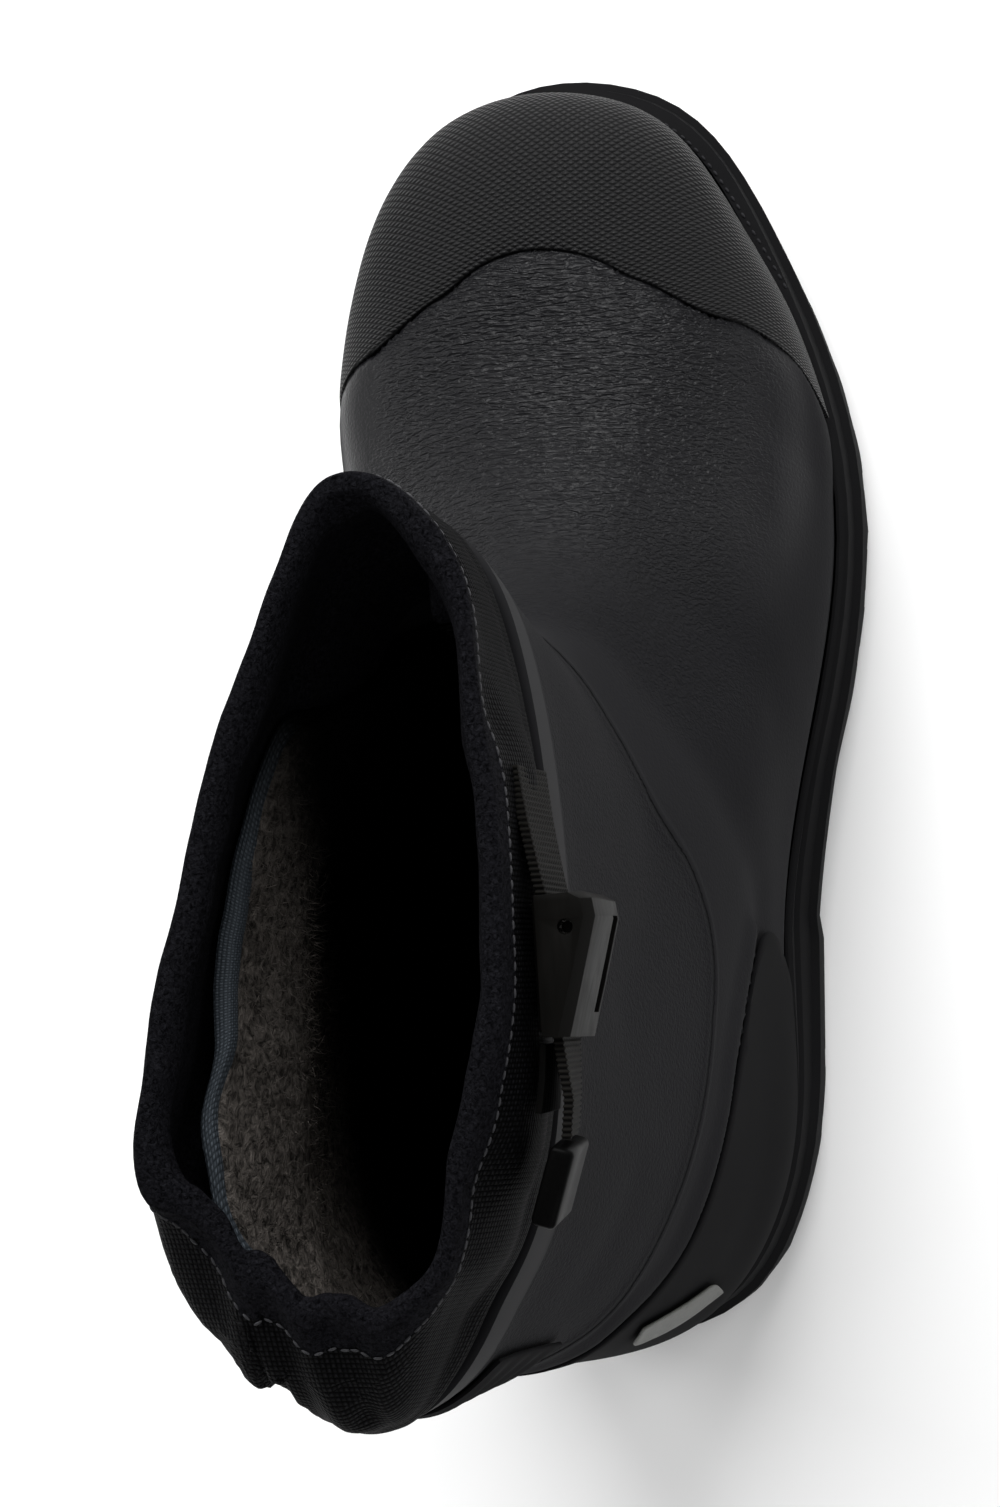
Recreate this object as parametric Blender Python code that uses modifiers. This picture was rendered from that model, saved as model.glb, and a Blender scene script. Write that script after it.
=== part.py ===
"""Right rubber boot with a padded textile cuff and a cam buckle, standing empty on its sole.

Frame: +Z up, +Y to the toe, +X to the outer (lateral) side, origin on the ground under the middle of the heel.
Sizes are millimetres. MM turns them into metres where a mesh is made.

The boot's skin is a stack of closed section loops, from the feather line, where shell and sole meet, to the rubber's
top rim. A point of the skin has an angle (0 at the heel's back, 90 degrees on the outer side, 180 at the toe) and a
level (0 at the feather line, 1 at the top rim). Every piece that lies on the shell is cut from this one function.
"""

import functools
import math
from collections import namedtuple

import bmesh
import bpy
import numpy as np
from mathutils import Matrix, Vector

MM = 0.001

# Driving sizes
LENGTH = 299.0  # outsole, heel to toe
BALL_WIDTH = 119.0  # outsole across the ball
RUBBER_HEIGHT = 203.0  # floor to the rubber's top rim
HEEL_BACK = -47.5  # the heel's back end, seen from the origin
WALL = 2.6  # rubber wall of the shell
GAP = 0.3  # clearance between neighbouring pieces
CUP_GAP = 0.5  # between the shell and the sole's cup
COVER_GAP = 0.7  # under the covers, whose facets differ from the shell's
COLUMNS = np.radians(np.arange(0, 360, 7.5))  # angles of the shell's grid

# Section loops. back and front: percent of LENGTH from the heel's back. tip: the front point's offset to the outer
# side. heel_round and toe_round: fullness of the two ends. lateral and medial: half widths at heel, waist, ball and
# toe. tip and widths: percent of BALL_WIDTH. height: at back, waist, ball and front, percent of RUBBER_HEIGHT.
Section = namedtuple("Section", "back front tip heel_round toe_round lateral medial height")
PLAN_ANGLES = np.radians([0, 20, 45, 72, 108, 140, 162, 180, 198, 220, 252, 288, 315, 340])
HEIGHT_ANGLES = np.radians([0, 72, 108, 180, 252, 288])
SECTIONS = {
    "feather": Section(1.5, 96.5, -8.0, 0.60, 0.58, (32, 32, 44.5, 28), (30.5, 29.5, 46, 39), (12.5, 10.5, 8, 12)),
    "bulge": Section(0.5, 97.3, -8.3, 0.60, 0.58, (34.5, 35, 46.5, 30), (32.5, 31.5, 48.5, 42), (18.5, 16.5, 16.5, 18)),
    "side": Section(0.3, 95.8, -8.3, 0.60, 0.58, (34.5, 35.5, 45.5, 30), (33, 32, 48.5, 43), (25.5, 23, 23, 25)),
    "shoulder": Section(0.5, 89.8, -7.5, 0.58, 0.56, (33, 35.5, 41, 27), (32, 31.5, 44.5, 37), (32.5, 29.5, 29, 29.5)),
    "vamp": Section(0.8, 77.8, -4, 0.57, 0.56, (31.5, 35, 36.5, 22), (30, 31, 38.5, 27.5), (40.5, 37, 34.5, 33)),
    "instep": Section(1.3, 65.4, -2, 0.56, 0.56, (29.5, 34.5, 33.5, 21), (28.5, 32, 33, 22), (49.5, 45.5, 41.5, 37.5)),
    "bend": Section(1.5, 55.7, 0, 0.55, 0.56, (27, 33.5, 32, 21), (27, 32, 28.5, 17.5), (59.5, 55, 51, 48.5)),
    "ankle": Section(1.5, 51.3, 2.5, 0.56, 0.56, (25, 31, 29, 21), (25, 31, 25, 15), (73, 69, 66, 64)),
    "shaft": Section(1.0, 52.7, 5, 0.58, 0.56, (23, 29, 27.5, 22), (24.5, 29.5, 23.5, 12.5), (86, 83.5, 82, 81)),
    "top": Section(0.5, 55.7, 6.5, 0.57, 0.56, (20.5, 27.5, 27, 22), (23.5, 27.5, 22, 10), (100, 100, 100, 100)),
}

# Lines on the shell, as levels at the angles of one side. The other side mirrors them.
RIM_LEVEL = 0.07  # top of the sole's cup wall
PANEL_LINE = {0: 0.765, 30: 0.735, 60: 0.69, 86: 0.655, 106: 0.695, 125: 0.755, 145: 0.785, 165: 0.85, 180: 0.86}
PANEL_STEP = 0.8  # the shaft lies this far back behind the vamp's edge
RIM_BAND = 0.955  # lower edge of the raised band round the rubber's top
RIM_BAND_STEP = 0.5
COVER = 1.1  # thickness of the toe cap and the heel counter
CAP_HALF_ANGLES = (63.5, 66.0)  # on the outer and the inner side
CAP_LINE = {0.0: 0.40, 0.33: 0.40, 0.55: 0.375, 0.68: 0.345, 0.82: 0.275, 0.94: 0.17, 1.0: 0.085}
COUNTER_FRONT = (62.0, 76.0)  # angle of the counter's front edge at the rim and at its tip
COUNTER_LINE = {0.0: 0.70, 0.37: 0.685, 0.54: 0.62, 0.75: 0.58, 0.92: 0.535, 1.0: 0.44}

# Outsole
OUTLINE = Section(0, 100, -8.5, 0.63, 0.58, (36.7, 39, 49.3, 31.5), (34, 34, 51.5, 44), (0, 0, 0, 0))
BREAST, WAIST, WAIST_END, FOREFOOT, FOREFOOT_END = 46.0, 50.0, 86.0, 104.0, 186.0  # along Y
ARCH_RISE = 7.0
TOE_SPRING = 13.0
HEEL_BEVEL = (10.0, 2.5)  # length and rise of the heel's worn-back edge
RIM_OUT, TOE_RIM_OUT = 2.0, 4.0  # the cup wall's thickness at the sides and at the toe
# Side of the sole from the ground up: how far in from the outline, and how high between ground and rim
SIDE_STEPS = {"ground": (3.0, 0.0), "lug edge": (0.7, 0.12), "lug top": (0.0, 0.42), "step": (1.7, 0.46),
              "band top": (1.3, 0.70), "upper step": (2.2, 0.74), "rim": (0.4, 0.97)}
LUG_DEPTH, GROOVE_WIDTH, CHEVRON_SLOPE = 4.0, 4.2, 0.32
HEEL_GROOVES = (-31.0, -15.0, 15.0, 31.0)
FOREFOOT_GROOVES = tuple(115.0 + 14.0 * i for i in range(9))
INSOLE_THICKNESS = 4.0

# Cuff: two loops inside the shell's rim, then its own sections up to the brim
CUFF_WALL = 3.2
CUFF_TUCK = 0.94  # level inside the shell where the cuff starts
CUFF_SECTIONS = (
    Section(0.5, 56.3, 7, 0.56, 0.52, (20.8, 29, 28, 21.5), (24, 28, 22, 10), (106, 106.5, 106.5, 106.5)),
    Section(2.6, 56.3, 8, 0.58, 0.52, (21.8, 30.5, 28.5, 20.5), (26.3, 26.5, 19, 7), (112, 114, 114, 114)),
    Section(6.9, 56.5, 7.5, 0.66, 0.52, (23.5, 31, 28.5, 20), (28.2, 24, 16.5, 4.5), (117.5, 121.5, 121.5, 121.5)),
)
# Folds of the gathered back: angle, half width and depth at the brim
PLEATS = ((349.0, 4.0, 6.5), (4.0, 3.0, 2.2), (300.0, 9.0, 2.0))
CUFF_COLUMNS = np.radians(sorted({*range(0, 360, 8)} | {339, 342, 345, 347, 349, 351, 353, 356, 2, 4, 6}))

# Strap and buckle, on the cuff's outer side. Y of each station, its height over the cuff and its tilt in degrees
STRAP_LEVEL = 0.68
STRAP_WIDTH, STRAP_THICK = 19.2, 1.6
STRAP_PATH = ((71, 1.3, 0), (62, 1.4, 0), (54, 2.1, 0), (48, 2.9, 0), (38, 3.3, 0), (28, 3.6, 0), (21, 4.3, 4),
              (15, 5.2, 8), (9, 5.6, 10))
STRAP_TIP = (14.0, 4.4, 21.0)  # length, thickness, width of the clip
TIP_TILT = 10.0
BUCKLE_Y, BUCKLE_LENGTH = 36.5, 24.0
LEVER_HALF, LEVER_SHEET, LEVER_FOLD, LEVER_LOW = 12.0, 1.0, 1.5, 1.7
LEVER_FACE = ((0.0, 9.0), (1.2, 10.9), (4.0, 11.3), (14.0, 8.6), (24.0, 5.8))  # along the strap, out from the cuff
LEVER_WINDOW = ((3.5, 20.0), (-9.6, -5.6))  # slot in the lever's face: along the strap, up
BASE_HALF, BASE_SHEET, BASE_OUT = 10.6, 0.8, 1.2
BASE_LUG = ((1.0, 2.6), (2.2, 8.8), (8.6, 8.8), (10.0, 2.6), (23.0, 2.6))
PIN_AT, PIN_RADIUS, PIN_HOLE = (5.6, 6.8), 1.0, 1.35
ANCHOR_Y, ANCHOR_WIDTH, ANCHOR_THICK = (23.6, 18.0, 12.0), 14.0, 1.2

# Ribbed strip and reflective patch at the back
RIBS_HALF_ANGLE, RIBS_LEVELS, RIB_COUNT, RIB_HEIGHT = 24.0, (0.80, 0.945), 4, 1.2
REFLECTOR_CORNERS = ((27.0, 0.31), (31.0, 0.42), (26.0, 0.62), (18.0, 0.56))  # angle and level
REFLECTOR_THICK = 0.6

MATERIALS = {  # colour, roughness, metallic
    "shell rubber": ((0.012, 0.012, 0.014), 0.55, 0.0),
    "sole rubber": ((0.009, 0.009, 0.010), 0.65, 0.0),
    "cover rubber": ((0.011, 0.011, 0.012), 0.60, 0.0),
    "cuff cloth": ((0.010, 0.010, 0.012), 0.90, 0.0),
    "footbed cloth": ((0.06, 0.06, 0.06), 0.95, 0.0),
    "webbing": ((0.020, 0.019, 0.015), 0.85, 0.0),
    "dark metal": ((0.030, 0.030, 0.032), 0.40, 1.0),
    "black plastic": ((0.012, 0.012, 0.012), 0.45, 0.0),
    "reflective film": ((0.35, 0.35, 0.33), 0.50, 0.0),
}


def clear_scene():
    for obj in list(bpy.data.objects):
        bpy.data.objects.remove(obj)


def new_collection(name):
    collection = bpy.data.collections.new(name)
    bpy.context.scene.collection.children.link(collection)
    return collection


def material(name):
    if name in bpy.data.materials:
        return bpy.data.materials[name]
    colour, roughness, metallic = MATERIALS[name]
    made = bpy.data.materials.new(name)
    made.use_nodes = True
    shader = made.node_tree.nodes["Principled BSDF"]
    shader.inputs["Base Color"].default_value = (*colour, 1.0)
    shader.inputs["Roughness"].default_value = roughness
    shader.inputs["Metallic"].default_value = metallic
    return made


def smooth_step(value, low, high):
    share = np.clip((np.asarray(value, float) - low) / (high - low), 0.0, 1.0)
    return share * share * (3.0 - 2.0 * share)


def hermite(share, start, start_slope, end, end_slope):
    square, cube = share**2, share**3
    return ((2 * cube - 3 * square + 1) * start + (cube - 2 * square + share) * start_slope
            + (3 * square - 2 * cube) * end + (cube - square) * end_slope)


def ring_spline(angles, values, at):
    """Values of a smooth closed curve through values at angles, read at the angles in at."""
    values = np.asarray(values, float)
    turn = 2.0 * math.pi
    after = np.roll(angles, -1) + np.where(np.arange(len(angles)) == len(angles) - 1, turn, 0.0)
    before = np.roll(angles, 1) - np.where(np.arange(len(angles)) == 0, turn, 0.0)
    slopes = (np.roll(values, -1) - np.roll(values, 1)) / (after - before)
    at = np.mod(np.asarray(at, float), turn)
    here = np.searchsorted(angles, at, side="right") - 1
    there = (here + 1) % len(angles)
    span = after[here] - angles[here]
    return hermite((at - angles[here]) / span, values[here], slopes[here] * span, values[there], slopes[there] * span)


def line_level(line, angle):
    """Level of a line on the shell, given as {degrees: level} for one side, at angles in radians."""
    sides = {math.radians(d): level for d, level in line.items()}
    sides.update({math.radians(360 - d): level for d, level in line.items() if 0 < d < 180})
    angles = np.array(sorted(sides))
    return ring_spline(angles, [sides[a] for a in angles], angle)


def edge_level(line, share):
    """Level of a cover's edge, given as {share of its half width: level}."""
    return np.interp(np.abs(share), list(line), list(line.values()))


def section_loop(section, angle):
    """Points of one section loop at the angles, in millimetres."""

    def half(widths, side):
        heel, waist, ball, toe = widths
        tip = side * section.tip
        return [section.heel_round * heel, heel, waist, ball, toe, tip + section.toe_round * (toe - tip)]

    medial = [-width for width in reversed(half(section.medial, -1))]
    widths = [0.0, *half(section.lateral, 1), section.tip, *medial]
    back, waist, ball, front = section.height
    x = ring_spline(PLAN_ANGLES, widths, angle) * BALL_WIDTH / 100
    y = HEEL_BACK + LENGTH / 100 * (section.back + (section.front - section.back) * (1 - np.cos(angle)) / 2)
    z = ring_spline(HEIGHT_ANGLES, [back, waist, ball, front, ball, waist], angle) * RUBBER_HEIGHT / 100
    return np.stack([x, y, z], axis=-1)


def between_loops(loops, level):
    """Smooth surface through stacked loops, read at levels from 0 at the first to 1 at the last."""
    last = len(loops) - 1
    place = np.clip(level, 0.0, 1.0) * last
    low = np.clip(np.floor(place).astype(int), 0, last - 1)

    def loop(index):
        return np.take_along_axis(loops, np.clip(index, 0, last)[None, ..., None], axis=0)[0]

    below, start, end, above = (loop(low + step) for step in (-1, 0, 1, 2))
    start_slope = np.where((low == 0)[..., None], end - start, (end - below) / 2)
    end_slope = np.where((low == last - 1)[..., None], end - start, (above - start) / 2)
    return hermite((place - low)[..., None], start, start_slope, end, end_slope)


def moved_out(surface, angle, level, out):
    """Points of a surface moved out along its normals."""
    angle, level, out = np.broadcast_arrays(*(np.asarray(v, float) for v in (angle, level, out)))
    turn, climb = 0.02, 0.004
    along = surface(angle + turn, level) - surface(angle - turn, level)
    up = surface(angle, np.minimum(level + climb, 1)) - surface(angle, np.maximum(level - climb, 0))
    normal = np.cross(along, up)
    normal /= np.linalg.norm(normal, axis=-1, keepdims=True)
    return surface(angle, level) + normal * out[..., None]


def skin(angle, level, out=0.0):
    """The shell's outer surface."""

    def bare(angles, levels):
        return between_loops(np.stack([section_loop(s, angles) for s in SECTIONS.values()]), levels)

    return moved_out(bare, angle, level, out)


def cuff_skin(angle, level, out=0.0):
    """The cuff's outer surface: tucked inside the shell's rim below, pleated at the back above."""

    def bare(angles, levels):
        inside = -(WALL + PANEL_STEP + GAP)
        loops = [skin(angles, np.full_like(angles, at), inside) for at in (CUFF_TUCK, 1.0)]
        loops += [section_loop(section, angles) for section in CUFF_SECTIONS]
        points = between_loops(np.stack(loops), levels)
        toward = np.array([0.0, 35.0, 0.0]) - points * (1, 1, 0)
        toward /= np.linalg.norm(toward, axis=-1, keepdims=True)
        for at, half, depth in PLEATS:
            away = (np.degrees(angles) - at + 180.0) % 360.0 - 180.0
            fold = depth * np.exp(-((away / half) ** 2)) * smooth_step(levels, 0.25, 0.95)
            points = points + toward * fold[..., None]
        return points

    return moved_out(bare, angle, level, out)


def ground_height(y):
    """Height of the sole's underside: flat heel, raised waist, flat forefoot, toe spring."""
    y = np.asarray(y, float)
    waist = ARCH_RISE * smooth_step(y, BREAST, WAIST) * (1 - smooth_step(y, WAIST_END, FOREFOOT))
    toe = TOE_SPRING * np.clip((y - FOREFOOT_END) / (HEEL_BACK + LENGTH - FOREFOOT_END), 0, 1) ** 2
    length, rise = HEEL_BEVEL
    heel = rise * np.clip((HEEL_BACK + length - y) / length, 0, 1) ** 2
    return waist + toe + heel


def mesh_object(name, points, faces, material_name, collection):
    """A mesh object from points in millimetres."""
    mesh = bpy.data.meshes.new(name)
    mesh.from_pydata([tuple(p) for p in np.asarray(points).reshape(-1, 3) * MM], [], faces)
    mesh.materials.append(material(material_name))
    obj = bpy.data.objects.new(name, mesh)
    collection.objects.link(obj)
    return obj


def shade_round(obj, sharp_degrees=40.0):
    obj.data.shade_smooth()
    obj.data.set_sharp_from_angle(angle=math.radians(sharp_degrees))
    return obj


def sheet(name, grid, thickness, offset, material_name, collection, closed=False):
    """A surface through a grid of points (rows upwards, columns from heel to toe) with a wall from Solidify."""
    rows, columns = grid.shape[:2]
    spans = columns if closed else columns - 1
    faces = [(r * columns + c, r * columns + (c + 1) % columns,
              (r + 1) * columns + (c + 1) % columns, (r + 1) * columns + c)
             for r in range(rows - 1) for c in range(spans)]
    obj = shade_round(mesh_object(name, grid, faces, material_name, collection))
    wall = obj.modifiers.new("wall", "SOLIDIFY")
    wall.thickness = thickness * MM
    wall.offset = offset
    wall.use_even_offset = True
    return obj


def capped_loft(name, loops, material_name, collection):
    """A solid through closed loops whose angles mirror each other. Strips across close its two ends."""
    count = len(loops[0])
    half = count // 2
    faces = [(r * count + c, r * count + (c + 1) % count,
              (r + 1) * count + (c + 1) % count, (r + 1) * count + c)
             for r in range(len(loops) - 1) for c in range(count)]
    for first, up in ((0, False), ((len(loops) - 1) * count, True)):
        for c in range(half):
            strip = [c, c + 1, count - c - 1, (count - c) % count]
            strip = [first + i for i in dict.fromkeys(strip)]
            faces.append(strip if up else strip[::-1])
    return shade_round(mesh_object(name, np.concatenate(loops), faces, material_name, collection), 30.0)


def prism(name, outline, low, high, collection):
    """A mesh prism with a flat outline, from height low to high."""
    curve = bpy.data.curves.new(name, "CURVE")
    curve.dimensions = "2D"
    curve.fill_mode = "BOTH"
    curve.extrude = (high - low) / 2 * MM
    spline = curve.splines.new("POLY")
    spline.points.add(len(outline) - 1)
    spline.use_cyclic_u = True
    for point, (x, y) in zip(spline.points, outline):
        point.co = (x * MM, y * MM, 0.0, 1.0)
    drawn = bpy.data.objects.new(name + " outline", curve)
    collection.objects.link(drawn)
    mesh = bpy.data.meshes.new_from_object(drawn.evaluated_get(bpy.context.evaluated_depsgraph_get()))
    bpy.data.objects.remove(drawn)
    shape = bmesh.new()
    shape.from_mesh(mesh)
    bmesh.ops.remove_doubles(shape, verts=shape.verts, dist=1e-6)
    bmesh.ops.recalc_face_normals(shape, faces=shape.faces)
    shape.to_mesh(mesh)
    shape.free()
    obj = bpy.data.objects.new(name, mesh)
    obj.location.z = (low + high) / 2 * MM
    collection.objects.link(obj)
    return obj


def move_to(obj, collection):
    for owner in tuple(obj.users_collection):
        owner.objects.unlink(obj)
    collection.objects.link(obj)
    return obj


def as_cutter(obj):
    obj.hide_render = True
    obj.display_type = "WIRE"
    return obj


def cut(obj, cutter):
    boolean = obj.modifiers.new("cut", "BOOLEAN")
    boolean.operation = "DIFFERENCE"
    boolean.solver = "EXACT"
    if isinstance(cutter, bpy.types.Collection):
        boolean.operand_type = "COLLECTION"
        boolean.collection = cutter
    else:
        boolean.object = cutter


def sole_angles():
    """Angles of the outsole's loops, with stations at the heel breast and the ends of the waist."""
    stations = np.array([BREAST, WAIST, WAIST_END, 0.5 * (WAIST_END + FOREFOOT), FOREFOOT])
    share = (stations - HEEL_BACK) / LENGTH
    side = np.sort(np.concatenate([np.radians(np.arange(7.5, 180, 7.5)), np.arccos(1 - 2 * share)]))
    side = side[np.concatenate([[True], np.diff(side) > math.radians(1.2)])]
    return np.concatenate([[0.0], side, [math.pi], 2 * math.pi - side[::-1]])


def plan_inset(loop, distance):
    """A loop drawn in by a distance, seen from above."""
    along = np.roll(loop, -1, axis=0) - np.roll(loop, 1, axis=0)
    outward = np.stack([along[:, 1], -along[:, 0]], axis=-1)
    outward /= np.linalg.norm(outward, axis=-1, keepdims=True)
    moved = loop.copy()
    moved[:, :2] -= outward * distance
    return moved


def cup_floor(angle):
    """Edge of the floor that the shell stands on inside the sole."""
    return skin(angle, 0.0, CUP_GAP) - (0.0, 0.0, CUP_GAP)


def make_outsole(parts, cutters):
    angle = sole_angles()
    outline = section_loop(OUTLINE, angle)
    toe_share = smooth_step(np.abs(np.degrees(angle) - 180.0), 75.0, 25.0)
    rim = skin(angle, RIM_LEVEL, CUP_GAP + RIM_OUT + (TOE_RIM_OUT - RIM_OUT) * toe_share)
    ground = ground_height(outline[:, 1])
    loops = []
    for inset, share in SIDE_STEPS.values():
        loop = outline + (rim - outline) * smooth_step(share, 0.3, 1.0)
        loop[:, 2] = ground + (rim[:, 2] - ground) * share
        loops.append(plan_inset(loop, inset))
    loops += [skin(angle, RIM_LEVEL, CUP_GAP + 0.7), skin(angle, RIM_LEVEL, CUP_GAP), skin(angle, 0.035, CUP_GAP),
              skin(angle, 0.0, CUP_GAP), cup_floor(angle)]
    sole = capped_loft("outsole", loops, "sole rubber", parts)
    for number, y in enumerate(HEEL_GROOVES + FOREFOOT_GROOVES):
        reach = 0.7 * BALL_WIDTH
        drop = CHEVRON_SLOPE * reach
        half = GROOVE_WIDTH / 2
        outline = [(0, y + half), (-reach, y - drop + half), (-reach, y - drop - half), (0, y - half),
                   (reach, y - drop - half), (reach, y - drop + half)]
        as_cutter(prism(f"groove {number}", outline, -20.0, float(ground_height(y)) + LUG_DEPTH, cutters))
    cut(sole, cutters)
    return sole


def make_upper(parts):
    panel = line_level(PANEL_LINE, COLUMNS)
    rows = [(share * (panel - 0.007), 0.0) for share in np.linspace(0, 1, 13)]
    shaft = [(panel + 0.007 + share * (RIM_BAND - 0.008 - panel - 0.007), -PANEL_STEP) for share in np.linspace(0, 1, 6)]
    band = [(np.full_like(panel, RIM_BAND + 0.006), RIM_BAND_STEP - PANEL_STEP), (np.ones_like(panel), RIM_BAND_STEP - PANEL_STEP)]
    grid = np.stack([skin(COLUMNS, level, out) for level, out in rows + shaft + band])
    return sheet("upper", grid, WALL, -1.0, "shell rubber", parts, closed=True)


def make_insole(parts):
    angle = COLUMNS
    edge = skin(angle, 0.0, -(WALL + 0.6))
    low = edge.copy()
    low[:, 2] = cup_floor(angle)[:, 2] + GAP
    high = low + (0.0, 0.0, INSOLE_THICKNESS)
    return capped_loft("insole", [low, high], "footbed cloth", parts)


def make_toe_cap(parts):
    share = np.linspace(-1, 1, 25)
    angle = np.radians(180 + np.where(share < 0, *CAP_HALF_ANGLES) * share)
    low, high = RIM_LEVEL + 0.012, edge_level(CAP_LINE, share)
    grid = np.stack([skin(angle, low + (high - low) * climb, COVER_GAP) for climb in np.linspace(0, 1, 7)])
    return sheet("toe_cap", grid, COVER, 1.0, "cover rubber", parts)


def make_heel_counter(parts):
    share = np.linspace(-1, 1, 23)
    low, high = RIM_LEVEL + 0.012, edge_level(COUNTER_LINE, share)
    rows = []
    for climb in np.linspace(0, 1, 7):
        level = low + (high - low) * climb
        front = np.interp(level, (low, COUNTER_LINE[1.0]), COUNTER_FRONT)
        rows.append(skin(np.radians(front * share), level, COVER_GAP))
    return sheet("heel_counter", np.stack(rows), COVER, 1.0, "cover rubber", parts)


def make_heel_ribs(parts):
    angle = np.radians(np.linspace(-RIBS_HALF_ANGLE, RIBS_HALF_ANGLE, 7))
    rows = []
    for climb in np.linspace(0, 1, 4 * RIB_COUNT + 1):
        rib = RIB_HEIGHT * 0.5 * (1 - math.cos(2 * math.pi * RIB_COUNT * climb))
        fade = smooth_step(RIBS_HALF_ANGLE - np.abs(np.degrees(angle)), 0.0, 12.0)
        level = RIBS_LEVELS[0] + (RIBS_LEVELS[1] - RIBS_LEVELS[0]) * climb
        rows.append(skin(angle, level, COVER_GAP - PANEL_STEP + rib * fade))
    return sheet("heel_ribs", np.stack(rows), 0.8, 1.0, "cover rubber", parts)


def make_heel_reflector(parts):
    corners = np.array(REFLECTOR_CORNERS)
    rows = []
    for across in np.linspace(0, 1, 3):
        start, end = (corners[a] + (corners[b] - corners[a]) * across for a, b in ((3, 2), (0, 1)))
        angle, level = (start[i] + (end[i] - start[i]) * np.linspace(0, 1, 6) for i in (0, 1))
        rows.append(skin(np.radians(angle), level, COVER_GAP + COVER + COVER_GAP))
    return sheet("heel_reflector", np.stack(rows), REFLECTOR_THICK, 1.0, "reflective film", parts)


def make_cuff(parts):
    levels = (0.0, 0.12, 0.25, 0.38, 0.50, 0.63, 0.76, 0.88, 1.0)
    grid = np.stack([cuff_skin(CUFF_COLUMNS, level) for level in levels])
    return sheet("cuff", grid, CUFF_WALL, -1.0, "cuff cloth", parts, closed=True)


@functools.cache
def strap_line():
    """Points along the cuff's outer side at the strap's level, from heel to toe, on it and 1 mm over it."""
    angle = np.radians(np.arange(30.0, 160.0, 2.0))
    return cuff_skin(angle, STRAP_LEVEL), cuff_skin(angle, STRAP_LEVEL, 1.0)


def cuff_frame(y):
    """On the cuff's outer side at a Y: a point on it, and the directions to the heel, outwards and up the cuff."""
    on, over = strap_line()

    def read(line, at):
        return np.array([np.interp(at, on[:, 1], line[:, axis]) for axis in range(3)])

    point = read(on, y)
    back = read(on, y - 4.0) - read(on, y + 4.0)
    back /= np.linalg.norm(back)
    out = read(over, y) - point
    out -= back * np.dot(out, back)
    out /= np.linalg.norm(out)
    return point, back, out, np.cross(back, out)


def make_strap(parts):
    low, high = [], []
    for y, over, tilt in STRAP_PATH:
        point, _, out, up = cuff_frame(y)
        lean = math.radians(tilt)
        half = (up * math.cos(lean) + out * math.sin(lean)) * STRAP_WIDTH / 2
        low.append(point + out * over - half)
        high.append(point + out * over + half)
    grid = np.stack([low[::-1], high[::-1]])
    return sheet("strap", grid, STRAP_THICK, 0.0, "webbing", parts)


def make_buckle_anchor(parts):
    rows = []
    for side in (-0.5, 0.5):
        frames = [cuff_frame(y) for y in reversed(ANCHOR_Y)]
        rows.append([p + out * 0.5 + up * ANCHOR_WIDTH * side for p, _, out, up in frames])
    return sheet("buckle_anchor", np.array(rows), ANCHOR_THICK, 1.0, "webbing", parts)


def seat_empty(name, y, over, tilt, parts):
    """An empty on the cuff: X to the heel, Y outwards, Z up the cuff."""
    point, back, out, up = cuff_frame(y)
    seat = bpy.data.objects.new(name, None)
    axes = Matrix((back, out, up)).transposed().to_4x4()
    seat.matrix_world = Matrix.Translation(Vector((point + out * over) * MM)) @ axes @ Matrix.Rotation(math.radians(-tilt), 4, "X")
    parts.objects.link(seat)
    return seat


def make_strap_tip(parts):
    end_y, over, _ = STRAP_PATH[-1]
    length, thick, width = STRAP_TIP
    seat = seat_empty("strap end", end_y - GAP - length / 2, over, TIP_TILT, parts)
    bpy.ops.mesh.primitive_cube_add(size=1.0)
    tip = bpy.context.object
    tip.name = tip.data.name = "strap_tip"
    tip.data.transform(Matrix.Diagonal((length * MM, thick * MM, width * MM, 1.0)))
    tip.data.materials.append(material("black plastic"))
    tip.parent = seat
    edges = tip.modifiers.new("round edges", "BEVEL")
    edges.width = 1.0 * MM
    edges.segments = 2
    return move_to(tip, parts)


def bent_sheet(name, rows, half, fold, low, thickness, seat, parts):
    """A sheet bent to a channel: rows give the place along it and the height of its web or of its flanges."""
    grid = []
    for along, web, flange in rows:
        section = [(flange, half), (web + fold * (1 if flange > web else -1), half), (web, half - fold)]
        section += [(out, -up) for out, up in reversed(section)]
        grid.append([(along - BUCKLE_LENGTH / 2, out, up) for out, up in section])
    obj = sheet(name, np.array(grid), thickness, 0.0, "dark metal", parts)
    obj.parent = seat
    return obj


def cylinder(name, radius, length, along, out, seat, collection):
    bpy.ops.mesh.primitive_cylinder_add(vertices=20, radius=radius * MM, depth=length * MM)
    obj = bpy.context.object
    obj.name = obj.data.name = name
    obj.parent = seat
    obj.location = ((along - BUCKLE_LENGTH / 2) * MM, out * MM, 0.0)
    return move_to(obj, collection)


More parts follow.
